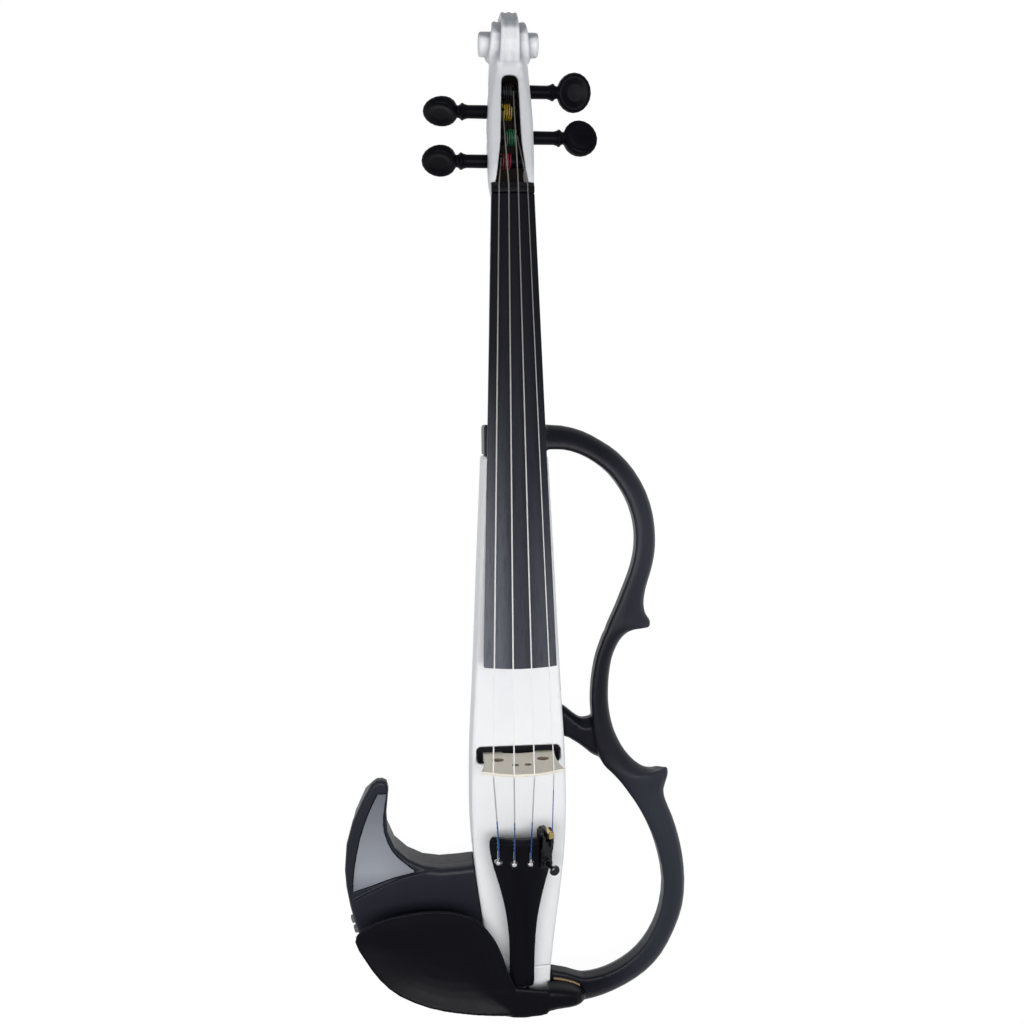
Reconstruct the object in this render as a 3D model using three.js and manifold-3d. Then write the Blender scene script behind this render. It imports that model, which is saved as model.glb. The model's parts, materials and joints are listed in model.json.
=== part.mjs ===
// An electric violin: a slim solid body and neck, an open outline frame on the treble side and a
// moulded control housing on the bass side, with chinrest, tailpiece, bridge, pegs and strings.
// Millimetres. While it is modelled, Y = 0 is the bridge line and +Y runs to the scroll, X = 0 is the
// centre line and +X the treble side, Z = 0 is the flat back and +Z faces the player's bow.
import * as THREE from 'three';
import { mergeVertices } from 'three/addons/utils/BufferGeometryUtils.js';
import Module from 'manifold-3d';

const wasm = await Module();
wasm.setup();

// Clearances and general sizes
const fitGap = 0.3;
const slideGap = 0.35;
const overrun = 2;
const weld = 1e-3;
const simplifyBy = 0.01;
const wall = 2;
const edgeRound = 1;

// Strings, nut and bridge
const stringLength = 328;
const nutDepth = 6.4;
const nutRise = 0.4;
const stringLift = 0.35;
const stringRadii = [0.42, 0.42, 0.38, 0.3];
const stringNames = ['g', 'd', 'a', 'e'];
const spanAtNut = 16.4;
const spanAtBridge = 34.6;
const bridgeHeight = 34;
const bridgeFootSpan = 44;
const bridgeFootThick = 4.5;
const bridgeTopThick = 1.4;
const bridgeCrown = 42;

// Neck and fingerboard
const boardLength = 270;
const boardNutWidth = 24.6;
const boardEndWidth = 42;
const boardEdge = 4.8;
const boardCrown = 42;
const glueHeight = 38.5;
const boardAction = 4.4;
const neckThick = 14.3;
const heelHalfWidth = 14.7;

// Body
const bodyHead = 178;
const bodyTail = 151.5;
const bodyHalfWidth = 28.5;
const bodyDepth = 46;
const bodyTopRound = 1.8;
const backRoundHeight = 20;
const backFlatShare = 0.7;
const heelRise = 12;
const heelStep = 3;
const riseLength = 80;
const tailSeam = 129.5;

// Outline frame
const frameReach = 103.5;
const frameThick = 17;
const frameTop = 44;
const yokeDepth = 18.5;
const yokeHalfWidth = 18.2;
const yokeFloor = 5.5;
const frameTailOverhang = 8;

// Control housing
const housingReach = 104;
const housingHorn = 13.7;
const underRoundShare = 0.018;
const underRound = housingReach * underRoundShare;
const housingTop = 40;
const housingBottom = 12;
const housingParting = 32.3;
const ledge = 1;
const deckRise = 1.6;
const rimRound = 2.2;
const deckRound = 3.4;
const panelThick = 1.2;
const panelGroove = 0.5;

// Battery and board
const batterySize = new THREE.Vector3(48.5, 26.5, 17.5);
const boardThick = 1.6;
const boardLevel = 23;

// Chinrest and clamp
const chinTop = 62;
const chinDish = 6;
const chinThick = 3.6;
const corkThick = 1.6;
const footPadThick = 1.2;
const barrelRadius = 2.9;
const barrelLength = 20;
const postRadius = 1.5;
const postGap = 0.3;
const clampSpan = 22;
const rebateHeight = 9;
const barrelLine = bodyTail + barrelRadius + fitGap * 1.5;

// Tailpiece, fine tuner, end button
const tailpieceHead = 42;
const tailpieceFoot = 137;
const tailpieceHalfWidth = 19;
const tailpieceHeadTop = 69;
const tailpieceFootTop = 56.5;
const tailpieceThick = 4.6;
const tailpieceCrown = 27;
const ballHole = 2.3;
const ballRadius = 1.8;
const ballLine = 57.5;
const buttonRadius = 6.2;
const buttonHeight = 28;
const gutRadius = 1;

// Pegs and scroll
const pegShaft = 3.75;
const pegNeck = 3.95;
const pegHead = 10.3;
const pegHeadWide = 11.3;
const pegHeadThick = 5.8;
const pegReach = 14.4;
const pegBead = 2.6;
const windTurns = 4;
const windPitch = 1.35;
const windRadius = 0.42;
const windClear = 1.3;
const windSteps = 12;
const windSides = 5;
const scrollHeight = 20;
const scrollReach = 89;
const scrollLine = stringLength + scrollReach;
const scrollRadius = 18.2;
const scrollShrink = 5.2;
const eyeRadius = 7;
const eyeHalfWidth = 17.6;

// A place on the control housing: X over its reach, Y from the horn (0) to the tail (1)
const housingTail = bodyTail - edgeRound / 2;
const housingSpan = housingTail - housingHorn;

function housingPoint(xShare, yShare) {
  return new THREE.Vector2(-housingReach * xShare, -housingHorn - housingSpan * yShare);
}

const batteryPlace = housingPoint(0.6346, 0.7014);

// Colours and finishes
const finishes = {
  white: { color: 0xf2f3f4, roughness: 0.18, metalness: 0 },
  ebony: { color: 0x2a2b2d, roughness: 0.5, metalness: 0 },
  black: { color: 0x1c1d20, roughness: 0.4, metalness: 0 },
  matte: { color: 0x2c2e33, roughness: 0.55, metalness: 0 },
  panel: { color: 0x6a7078, roughness: 0.5, metalness: 0.1 },
  maple: { color: 0xd8cfb4, roughness: 0.55, metalness: 0 },
  cork: { color: 0xb89b72, roughness: 0.9, metalness: 0 },
  steel: { color: 0xc9ccd0, roughness: 0.3, metalness: 1 },
  brass: { color: 0xc9a24a, roughness: 0.3, metalness: 1 },
  board: { color: 0x1f6b3a, roughness: 0.6, metalness: 0 },
  battery: { color: 0x55585c, roughness: 0.4, metalness: 0.6 },
  green: { color: 0x2c7a4a, roughness: 0.6, metalness: 0 },
  red: { color: 0x9c2a30, roughness: 0.6, metalness: 0 },
  yellow: { color: 0xc9a32a, roughness: 0.6, metalness: 0 },
  lead: { color: 0x303236, roughness: 0.6, metalness: 0 },
};
const materials = Object.fromEntries(
  Object.entries(finishes)
  .map(([name, finish]) => [name, new THREE.MeshStandardMaterial({ name, ...finish })]),
);

const instrument = new THREE.Group();

// A closed geometry as a solid that can be joined and cut
function solid(geometry) {
  const bare = new THREE.BufferGeometry();
  bare.setAttribute('position', geometry.getAttribute('position').clone());
  if (geometry.index) bare.setIndex(geometry.index.clone());
  const merged = mergeVertices(bare, weld);
  const corners = merged.index.array;
  const kept = [];
  for (let i = 0; i < corners.length; i += 3) {
    const [a, b, c] = [corners[i], corners[i + 1], corners[i + 2]];
    if (a !== b && b !== c && c !== a) kept.push(a, b, c);
  }
  const vertProperties = Float32Array.from(merged.getAttribute('position').array);
  return new wasm.Manifold(new wasm.Mesh({ numProp: 3, vertProperties, triVerts: Uint32Array.from(kept) }));
}

// A solid without the small hollows that its joined parts enclose
function filled(shape) {
  return shape.decompose().reduce((best, part) => (part.volume() > best.volume() ? part : best));
}

// A solid as a geometry again
function geometryOf(shape) {
  const mesh = shape.getMesh();
  const geometry = new THREE.BufferGeometry();
  geometry.setAttribute('position', new THREE.BufferAttribute(Float32Array.from(mesh.vertProperties), 3));
  geometry.setIndex(new THREE.BufferAttribute(Uint32Array.from(mesh.triVerts), 1));
  geometry.computeVertexNormals();
  return geometry;
}

// Adds a named piece to a group
function piece(name, shape, finish, parent = instrument) {
  const mesh = new THREE.Mesh(geometryOf(shape.simplify(simplifyBy)), materials[finish]);
  mesh.name = name;
  parent.add(mesh);
  return mesh;
}

// Moves or turns a geometry, then makes it a solid
function placed(geometry, x, y, z, turn = new THREE.Euler()) {
  const quaternion = new THREE.Quaternion().setFromEuler(turn);
  const matrix = new THREE.Matrix4()
    .compose(new THREE.Vector3(x, y, z), quaternion, new THREE.Vector3(1, 1, 1));
  return solid(geometry.clone().applyMatrix4(matrix));
}

// A box given by its low and high corners
function block(x0, x1, y0, y1, z0, z1) {
  const geometry = new THREE.BoxGeometry(x1 - x0, y1 - y0, z1 - z0);
  return placed(geometry, (x0 + x1) / 2, (y0 + y1) / 2, (z0 + z1) / 2);
}

// A cylinder along X, Y or Z between two points of that axis
function rod(axis, radius, start, end, u, v, sides = 20) {
  const geometry = new THREE.CylinderGeometry(radius, radius, Math.abs(end - start), sides);
  const middle = (start + end) / 2;
  if (axis === 'x') return placed(geometry, middle, u, v, new THREE.Euler(0, 0, Math.PI / 2));
  if (axis === 'y') return placed(geometry, u, middle, v);
  return placed(geometry, u, v, middle, new THREE.Euler(Math.PI / 2, 0, 0));
}

// A profile of [radius, height] rows turned about Y
function revolve(profile, sides) {
  const rising = profile[profile.length - 1][1] > profile[0][1] ? profile : profile.slice().reverse();
  return new THREE.LatheGeometry(rising.map(([r, h]) => new THREE.Vector2(r, h)), sides);
}

// Rows of numbers read along a smooth curve, with so many steps from each row to the next
function smooth(rows, steps, closed = false) {
  const count = rows.length;
  const row = (i) => (closed ? rows[(i + count) % count] : rows[Math.min(Math.max(i, 0), count - 1)]);
  const curve = (a, b, c, d, t) =>
    0.5 * (2 * b + (c - a) * t + (2 * a - 5 * b + 4 * c - d) * t * t + (3 * b - a - 3 * c + d) * t * t * t);
  const out = [];
  for (let i = 0; i < (closed ? count : count - 1); i++) {
    for (let k = 0; k < steps; k++) {
      const at = (_, n) => curve(row(i - 1)[n], row(i)[n], row(i + 1)[n], row(i + 2)[n], k / steps);
      out.push(row(i).map(at));
    }
  }
  if (!closed) out.push(rows[count - 1].slice());
  return out;
}

// The value of a table of [place, value] rows at a place, on a smooth curve
function tableAt(rows, place) {
  const fine = smooth(rows, 8);
  let i = 0;
  while (i < fine.length - 2 && fine[i + 1][0] < place) i++;
  const [from, to] = [fine[i], fine[i + 1]];
  const within = THREE.MathUtils.clamp(place, from[0], to[0]);
  return THREE.MathUtils.mapLinear(within, from[0], to[0], from[1], to[1]);
}

// Triangles that close one ring of points
function capOf(ring) {
  const normal = new THREE.Vector3();
  const middle = new THREE.Vector3();
  ring.forEach((point, i) => {
    const next = ring[(i + 1) % ring.length];
    normal.add(new THREE.Vector3().crossVectors(point, next));
    middle.addScaledVector(point, 1 / ring.length);
  });
  const flat = new THREE.Quaternion().setFromUnitVectors(normal.normalize(), new THREE.Vector3(0, 0, 1));
  const contour = ring.map((point) => {
    const turned = point.clone().sub(middle).applyQuaternion(flat);
    return new THREE.Vector2(turned.x, turned.y);
  });
  return THREE.ShapeUtils.triangulateShape(contour, []);
}

// Skins rings of equal count into a closed solid
function loft(rings) {
  const count = rings[0].length;
  const triangles = [];
  for (let i = 0; i < rings.length - 1; i++) {
    for (let j = 0; j < count; j++) {
      const [a, b] = [i * count + j, i * count + ((j + 1) % count)];
      triangles.push([a, b, b + count], [a, b + count, a + count]);
    }
  }
  const last = (rings.length - 1) * count;
  for (const [a, b, c] of capOf(rings[0])) triangles.push([c, b, a]);
  for (const [a, b, c] of capOf(rings[rings.length - 1])) triangles.push([last + a, last + b, last + c]);
  const points = rings.flat();
  let volume = 0;
  for (const [a, b, c] of triangles) {
    volume += points[a].dot(new THREE.Vector3().crossVectors(points[b], points[c]));
  }
  const index = triangles.flatMap(([a, b, c]) => (volume < 0 ? [a, c, b] : [a, b, c]));
  const geometry = new THREE.BufferGeometry().setFromPoints(points);
  geometry.setIndex(index);
  return solid(geometry);
}

// A tube of even radius along points, one ring of sides at each point
function tube(points, radius, sides) {
  const rings = [];
  const direction = (i) => {
    const ahead = points[Math.min(i + 1, points.length - 1)].clone().sub(points[i]);
    const behind = points[i].clone().sub(points[Math.max(i - 1, 0)]);
    return ahead.normalize().add(behind.normalize()).normalize();
  };
  let normal = new THREE.Vector3(0, 0, 1);
  if (Math.abs(direction(0).z) > 0.8) normal = new THREE.Vector3(1, 0, 0);
  points.forEach((point, i) => {
    const along = direction(i);
    normal = normal.clone().addScaledVector(along, -normal.dot(along)).normalize();
    const side = new THREE.Vector3().crossVectors(along, normal);
    const ring = [];
    for (let k = 0; k < sides; k++) {
      const angle = (2 * Math.PI * k) / sides;
      ring.push(point.clone().addScaledVector(normal, radius * Math.cos(angle))
        .addScaledVector(side, radius * Math.sin(angle)));
    }
    rings.push(ring);
  });
  return loft(rings);
}

// A flat outline moved inwards along its own normals; the outline runs clockwise seen from +Z
function inset(outline, distance) {
  const area = outline.reduce((sum, [x, y], i) => {
    const [nextX, nextY] = outline[(i + 1) % outline.length];
    return sum + x * nextY - nextX * y;
  }, 0);
  const side = Math.sign(area) * distance;
  return outline.map(([x, y], i) => {
    const before = outline[(i + outline.length - 1) % outline.length];
    const after = outline[(i + 1) % outline.length];
    const tangent = new THREE.Vector2(after[0] - before[0], after[1] - before[1]).normalize();
    return [x - tangent.y * side, y + tangent.x * side];
  });
}

// A solid made of layers, each an outline at a level, drawn in by its own distance
function layers(outline, steps) {
  return loft(steps.map(([level, distance]) => (
    inset(outline, distance).map(([x, y]) => new THREE.Vector3(x, y, level))
  )));
}

// Body and tail block
// Half widths of the body from its head (0) to its tail (1), as shares of the widest
const bodyWidthShares = [
  [0, 0.67], [0.2, 0.785], [0.4, 0.895], [0.52, 0.975], [0.61, 1], [0.69, 0.985],
  [0.77, 0.9], [0.85, 0.775], [0.93, 0.665], [1, 0.62],
];
const bodyLength = bodyHead + bodyTail;

function bodyHalfWidthAt(y) {
  return bodyHalfWidth * tableAt(bodyWidthShares, (bodyHead - y) / bodyLength);
}

function backHeightAt(y) {
  const share = THREE.MathUtils.clamp((y - bodyHead + riseLength) / riseLength, 0, 1);
  return heelRise * share * share;
}

function bodyRing(y, grow) {
  const halfWidth = bodyHalfWidthAt(y) + grow;
  const top = bodyDepth + grow;
  const bottom = backHeightAt(y) - grow;
  const flat = halfWidth * backFlatShare;
  const half = [];
  for (const angle of [Math.PI / 2, Math.PI / 4, 0]) {
    half.push([halfWidth - bodyTopRound * (1 - Math.cos(angle)), top - bodyTopRound * (1 - Math.sin(angle))]);
  }
  for (let k = 0; k <= 5; k++) {
    const angle = (Math.PI / 2) * (k / 5);
    half.push([
      flat + (halfWidth - flat) * Math.cos(angle),
      backRoundHeight - (backRoundHeight - bottom) * Math.sin(angle),
    ]);
  }
  const ring = half.concat(half.slice().reverse().map(([x, z]) => [-x, z]));
  return ring.map(([x, z]) => new THREE.Vector3(x, y, z));
}

function bodySolid(from, to, steps, grow = 0) {
  const rings = [];
  for (let k = 0; k <= steps; k++) rings.push(bodyRing(THREE.MathUtils.lerp(from, to, k / steps), grow));
  return loft(rings);
}

const bodyCutter = bodySolid(bodyHead + overrun, -bodyTail - overrun, 30, fitGap);

// Pickup tray
const traySlotHalf = 25;
const traySlotFront = 6.5;
const traySlotBack = 3.4;
const trayDepth = 3.4;
const trayRim = 0.4;
const trayWall = 1.4;
const trayFloor = 1.2;
const trayCorner = 2.4;
const leadRadius = 1;
const leadHole = 1.6;
const leadHead = new THREE.Vector3(-15, -1, bodyDepth - trayDepth);
const leadEnd = housingPoint(0.356, 0.541);
const leadFoot = new THREE.Vector3(leadEnd.x, leadEnd.y, boardLevel + boardThick + leadRadius + fitGap);
const leadBend = new THREE.Vector3(-bodyHalfWidth * 0.56, leadEnd.y, buttonHeight);
const leadTurn = 6;

function roundedSlot(halfLength, front, back, corner, low, high) {
  const shape = new THREE.Shape();
  shape.moveTo(-halfLength + corner, -back);
  shape.lineTo(halfLength - corner, -back);
  shape.absarc(halfLength - corner, -back + corner, corner, -Math.PI / 2, 0, false);
  shape.absarc(halfLength - corner, front - corner, corner, 0, Math.PI / 2, false);
  shape.absarc(-halfLength + corner, front - corner, corner, Math.PI / 2, Math.PI, false);
  shape.absarc(-halfLength + corner, -back + corner, corner, Math.PI, Math.PI * 1.5, false);
  const geometry = new THREE.ExtrudeGeometry(shape,
    { depth: high - low, bevelEnabled: false, curveSegments: 4 });
  return placed(geometry, 0, 0, low);
}

// The pickup's lead runs down inside the body and turns out into the housing
function leadPath(before, after) {
  const [along, out] = [leadBend.clone().sub(leadHead).normalize(),
    leadFoot.clone().sub(leadBend).normalize()];
  const corner = (k) => {
    const [a, b] = [leadBend.clone().addScaledVector(along, -leadTurn),
      leadBend.clone().addScaledVector(out, leadTurn)];
    return new THREE.QuadraticBezierCurve3(a, leadBend, b).getPoint(k);
  };
  const drop = (forward, down) => new THREE.Vector3(leadHead.x, leadHead.y - forward, leadHead.z - down);
  return [
    drop(0, -before), drop(0, leadTurn * 0.7), drop(leadTurn * 0.1, leadTurn * 0.95),
    drop(leadTurn * 0.35, leadTurn * 1.15),
    drop(leadTurn * 0.8, leadTurn * 1.25),
    corner(0), corner(1 / 3), corner(2 / 3), corner(1), leadFoot.clone().addScaledVector(out, after),
  ];
}

const leadTool = tube(leadPath(overrun, 0), leadHole, 10);

function body() {
  const slot = roundedSlot(
    traySlotHalf, traySlotFront, traySlotBack, trayCorner, bodyDepth - trayDepth, bodyDepth + overrun,
  );
  piece('body', bodySolid(bodyHead, -tailSeam, 22).subtract(slot).subtract(leadTool), 'white');
}

function pickup() {
  const low = bodyDepth - trayDepth + fitGap;
  const outer = roundedSlot(traySlotHalf - fitGap, traySlotFront - fitGap, traySlotBack - fitGap,
    trayCorner - fitGap, low, bodyDepth + trayRim);
  const inner = roundedSlot(traySlotHalf - fitGap - trayWall, traySlotFront - fitGap - trayWall,
    traySlotBack - fitGap - trayWall, trayCorner - trayWall, low + trayFloor, bodyDepth + trayRim + overrun);
  const notch = rod('z', leadHole, low - overrun, low + trayFloor + overrun, leadHead.x, leadHead.y, 10);
  piece('pickup_tray', outer.subtract(inner).subtract(notch), 'black');
  piece('pickup_lead', tube(leadPath(fitGap, -leadRadius), leadRadius, 8), 'lead');
}

// Saddle, end button and the tail block that carries them
const saddleHalf = 15;
const saddleTop = 8;
const saddleDepth = 5;
const saddleDrop = 4;
const saddleRise = 4.2;
const saddleRound = 1.6;
const buttonLength = 9;
const buttonShank = 3.6;
const shankLength = 14;
const clampSeat = 14;

function tailBlock() {
  const blank = bodySolid(-tailSeam - fitGap, -bodyTail, 4);
  const rebate = block(-bodyHalfWidth, bodyHalfWidth, -bodyTail - overrun, -bodyTail + clampSeat,
    -overrun, rebateHeight);
  const seat = block(-saddleHalf - fitGap, saddleHalf + fitGap, -bodyTail - overrun,
    -bodyTail + saddleDepth + fitGap,
    bodyDepth - saddleDrop - fitGap, bodyDepth + overrun);
  const bore = rod('y', buttonShank + fitGap, -bodyTail - overrun, -bodyTail + shankLength + fitGap, 0,
    buttonHeight);
  piece('tail_block', blank.subtract(rebate).subtract(seat).subtract(bore), 'white');
}

function saddle() {
  const low = bodyDepth - saddleDrop;
  const profile = new THREE.Shape();
  profile.moveTo(-bodyTail, low);
  profile.lineTo(-bodyTail + saddleDepth, low);
  profile.lineTo(-bodyTail + saddleDepth, bodyDepth + saddleRise - saddleRound);
  profile.absarc(-bodyTail + saddleDepth - saddleRound, bodyDepth + saddleRise - saddleRound, saddleRound,
    0, Math.PI / 2, false);
  profile.absarc(-bodyTail + saddleRound, bodyDepth + saddleRise - saddleRound, saddleRound,
    Math.PI / 2, Math.PI, false);
  const geometry = new THREE.ExtrudeGeometry(profile,
    { depth: saddleTop * 2, bevelEnabled: false, curveSegments: 4 });
  const strip = placed(geometry, -saddleTop, 0, 0, new THREE.Euler(Math.PI / 2, Math.PI / 2, 0));
  const foot = block(-saddleHalf, saddleHalf, -bodyTail, -bodyTail + saddleDepth, low, bodyDepth);
  piece('saddle', strip.add(foot), 'ebony');
}

function endButton() {
  const seat = bodyTail + fitGap;
  const groove = seat + buttonLength * 0.4;
  const profile = [
    [0, -(bodyTail - shankLength)], [buttonShank, -(bodyTail - shankLength)], [buttonShank, -seat],
    [buttonRadius * 0.8, -seat], [buttonRadius * 0.62, -groove],
    [buttonRadius * 0.8, -(seat + buttonLength * 0.55)], [buttonRadius, -(seat + buttonLength * 0.7)],
    [buttonRadius * 0.85, -(seat + buttonLength * 0.92)], [0, -(seat + buttonLength)],
  ];
  piece('end_button', placed(revolve(profile, 20), 0, 0, buttonHeight), 'ebony');
}

// Neck, pegbox and scroll
const boardTopAtNut = glueHeight + boardEdge + crownDrop(boardNutWidth / 2, boardCrown);
const bridgeFoot = bodyDepth - trayDepth + trayFloor + fitGap * 2;
const bridgeTop = bridgeFoot + bridgeHeight;
// The board rises so that its end stays this far under the strings
const stringAtBoardEnd = THREE.MathUtils.lerp(boardTopAtNut, bridgeTop, boardLength / stringLength);
const boardEndGlue = stringAtBoardEnd - boardAction - boardEdge - crownDrop(boardEndWidth / 2, boardCrown);
const boardSlope = (boardEndGlue - glueHeight) / boardLength;

function crownDrop(x, radius) {
  return radius - Math.sqrt(radius * radius - x * x);
}

function glueAt(y) {
  return glueHeight + boardSlope * (stringLength - y);
}

function boardHalfWidthAt(y) {
  return THREE.MathUtils.lerp(boardNutWidth, boardEndWidth, (stringLength - y) / boardLength) / 2;
}

const heelEnd = bodyHead + fitGap;
const heelStart = bodyHead + yokeDepth;
const neckEnd = stringLength + nutDepth;
const heelBottom = heelRise + heelStep;
// Rows down the neck: how far from the nut to the heel, thickness share, squareness of the section
const neckShares = [
  [0, 1, 1], [0.25, 1, 1], [0.5, 1.05, 1], [0.72, 1.16, 1], [0.82, 1.3, 0.9], [0.9, 1.65, 0.7],
  [0.955, 2.1, 0.45],
];

function neckRing(y, bottom, power) {
  const halfWidth = Math.min(boardHalfWidthAt(Math.min(y, stringLength)), heelHalfWidth);
  const top = glueAt(Math.min(y, stringLength));
  const side = top - edgeRound * 2;
  const ring = [new THREE.Vector3(halfWidth, y, top)];
  for (let k = 0; k <= 8; k++) {
    const angle = Math.PI * (k / 8);
    const across = Math.sign(Math.cos(angle)) * Math.abs(Math.cos(angle)) ** power;
    const down = Math.sin(angle) ** power;
    ring.push(new THREE.Vector3(halfWidth * across, y, side - (side - bottom) * down));
  }
  ring.push(new THREE.Vector3(-halfWidth, y, top));
  return ring;
}

function neck() {
  const rings = [neckRing(neckEnd, glueAt(stringLength) - neckThick, 1)];
  const span = stringLength - heelStart;
  for (const [share, thick, power] of smooth(neckShares, 2)) {
    const y = stringLength - span * share;
    rings.push(neckRing(y, glueAt(y) - neckThick * thick, power));
  }
  rings.push(neckRing(heelStart, heelBottom, 0.3), neckRing(heelEnd, heelBottom, 0.3));
  return loft(rings);
}

// Up the pegbox from the nut (0) to the scroll (1): half width over the widest, front and back over the
// front at the nut, and how far the front edges are cut back over the half width
const pegboxShares = [
  [0, 0.917, 1, 0.634, 0.16], [0.06, 0.97, 0.995, 0.524, 0.16], [0.16, 0.99, 0.963, 0.356, 0.16],
  [0.32, 1, 0.921, 0.241, 0.16], [0.5, 0.99, 0.874, 0.162, 0.16], [0.66, 0.94, 0.832, 0.115, 0.18],
  [0.8, 0.88, 0.79, 0.089, 0.26], [0.92, 0.845, 0.755, 0.094, 0.4], [1, 0.82, 0.72, 0.157, 0.48],
];
const pegboxStart = stringLength;
const pegboxLength = scrollLine - eyeRadius - edgeRound - pegboxStart;
const pegboxHalf = 13.3;
const pegboxFront = 38.2;

function pegboxRing(y, halfWidth, front, back, roundShare) {
  const round = halfWidth * roundShare;
  const half = [
    [halfWidth - round, front], [halfWidth, front - round],
    [halfWidth, THREE.MathUtils.lerp(back, front, 0.45)],
    [halfWidth * 0.93, THREE.MathUtils.lerp(back, front, 0.2)],
    [halfWidth * 0.7, THREE.MathUtils.lerp(back, front, 0.05)], [halfWidth * 0.35, back],
  ];
  const ring = half.concat(half.slice().reverse().map(([x, z]) => [-x, z]));
  return ring.map(([x, z]) => new THREE.Vector3(x, y, z));
}

function pegboxAt(y) {
  const share = THREE.MathUtils.clamp((y - pegboxStart) / pegboxLength, 0, 1);
  const column = (n) => tableAt(pegboxShares.map((row) => [row[0], row[n]]), share);
  return [pegboxHalf * column(1), pegboxFront * column(2), pegboxFront * column(3), column(4)];
}

function pegboxSolid() {
  const rings = [];
  for (let k = 0; k <= 12; k++) {
    const y = pegboxStart + pegboxLength * (k / 12);
    rings.push(pegboxRing(y, ...pegboxAt(y)));
  }
  return loft(rings);
}

// The cavity between the cheeks: place along the pegbox, half width over the pegbox's, floor over its back
const cavityShares = [
  [0.075, 0.78], [0.12, 0.68], [0.2, 0.6], [0.27, 0.545], [0.37, 0.47], [0.5, 0.435], [0.68, 0.425],
  [0.8, 0.42], [0.834, 0.385], [0.852, 0.27], [0.858, 0.08],
];
const cavityFloor = 5;

function cavity() {
  const rings = smooth(cavityShares, 2).map(([share, width]) => {
    const y = pegboxStart + pegboxLength * share;
    const [halfWidth, front, back] = pegboxAt(y);
    const across = halfWidth * width;
    const low = back + cavityFloor;
    const corners = [[-across, front + overrun * 2], [across, front + overrun * 2],
      [across, low + across / 2]];
    corners.push([across / 2, low], [-across / 2, low], [-across, low + across / 2]);
    return corners.map(([x, z]) => new THREE.Vector3(x, y, z));
  });
  return loft(rings);
}

// The volute: rings that turn about the scroll's axis while the radius shrinks and the width grows
const voluteSteps = 16;
// Angle in turns from the back, half width as a share of the eye's
const voluteShares = [
  [-0.12, 0.6], [0, 0.45], [0.25, 0.275], [0.5, 0.31], [0.75, 0.36], [1, 0.44], [1.25, 0.54], [1.5, 0.63],
  [1.75, 0.72], [2.1, 0.86],
];
const fluteDepth = 0.9;
const voluteCore = 2;

function voluteRing(turn) {
  const radius = scrollRadius - scrollShrink * (turn - 0.25);
  const halfWidth = eyeHalfWidth * tableAt(voluteShares, turn);
  const angle = 2 * Math.PI * turn;
  const section = [
    [voluteCore, -halfWidth], [radius - edgeRound, -halfWidth], [radius, -halfWidth + edgeRound],
    [radius - fluteDepth, -halfWidth / 2], [radius, 0], [radius - fluteDepth, halfWidth / 2],
    [radius, halfWidth - edgeRound], [radius - edgeRound, halfWidth], [voluteCore, halfWidth],
  ];
  return section.map(([r, x]) => new THREE.Vector3(
    x, scrollLine + r * Math.sin(angle), scrollHeight - r * Math.cos(angle),
  ));
}

function volute(from, to) {
  const count = Math.round((to - from) * voluteSteps);
  const rings = [];
  for (let k = 0; k <= count; k++) rings.push(voluteRing(THREE.MathUtils.lerp(from, to, k / count)));
  return loft(rings);
}

// A peg's place: along the pegbox from the nut (0) to the scroll (1), height over the pegbox's front
function pegPlace(alongShare, heightShare) {
  return { y: pegboxStart + pegboxLength * alongShare, z: pegboxFront * heightShare };
}

// Pegs: place, side of the head and turn at rest
const pegs = [
  { name: 'g', ...pegPlace(0.272, 0.575), side: -1, turn: 59, stretch: 1.04 },
  { name: 'd', ...pegPlace(0.633, 0.47), side: -1, turn: 66, stretch: 1 },
  { name: 'a', ...pegPlace(0.7827, 0.44), side: 1, turn: 14, stretch: 1 },
  { name: 'e', ...pegPlace(0.449, 0.52), side: 1, turn: -18, stretch: 1.12 },
];
const windCentre = pegShaft + windRadius + fitGap;

// The scroll's eye: a drum with rounded ends, half height up its axis
function eyeProfile() {
  const end = [
    [eyeRadius, eyeHalfWidth - edgeRound * 1.6],
    [eyeRadius - edgeRound * 0.5, eyeHalfWidth - edgeRound * 0.5],
    [eyeRadius - edgeRound * 1.6, eyeHalfWidth], [0, eyeHalfWidth],
  ];
  return end.slice().reverse().map(([r, h]) => [r, -h]).concat(end);
}

function neckAndScroll() {
  const turns = [[-0.12, 0.45], [0.4, 0.95], [0.9, 1.45], [1.4, 2.1]];
  let shape = neck().add(pegboxSolid());
  for (const [from, to] of turns) shape = shape.add(volute(from, to));
  shape = shape.add(placed(revolve(eyeProfile(), 24), 0, scrollLine, scrollHeight,
    new THREE.Euler(0, 0, Math.PI / 2)));
  shape = filled(shape).subtract(cavity());
  for (const peg of pegs) {
    shape = shape.subtract(rod('x', pegShaft + fitGap, -eyeHalfWidth, eyeHalfWidth, peg.y, peg.z, 20));
  }
  const screwHole = (x) => rod('z', screwShank + fitGap, 0, heelBottom + screwLength, x, yokeScrewLine, 12);
  for (const x of yokeScrewPlaces) shape = shape.subtract(screwHole(x));
  piece('neck_and_scroll', shape, 'white');
}

// The flared collar: radius over the shank's, place over the distance from collar to head
const beadShares = [[0.98, -1.2], [1.1, -0.5], [1.3, 0], [1.26, 0.25], [0.95, 0.7], [0.9, 1.1], [0.62, 2.6]];
// The head's section from its middle to its rim: radius over the head's, height over half the thickness
const headShares = [[0, 0.62], [0.45, 0.7], [0.74, 1], [0.86, 1], [0.95, 0.78], [1, 0.3]];
const headTaper = 0.42;

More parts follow.
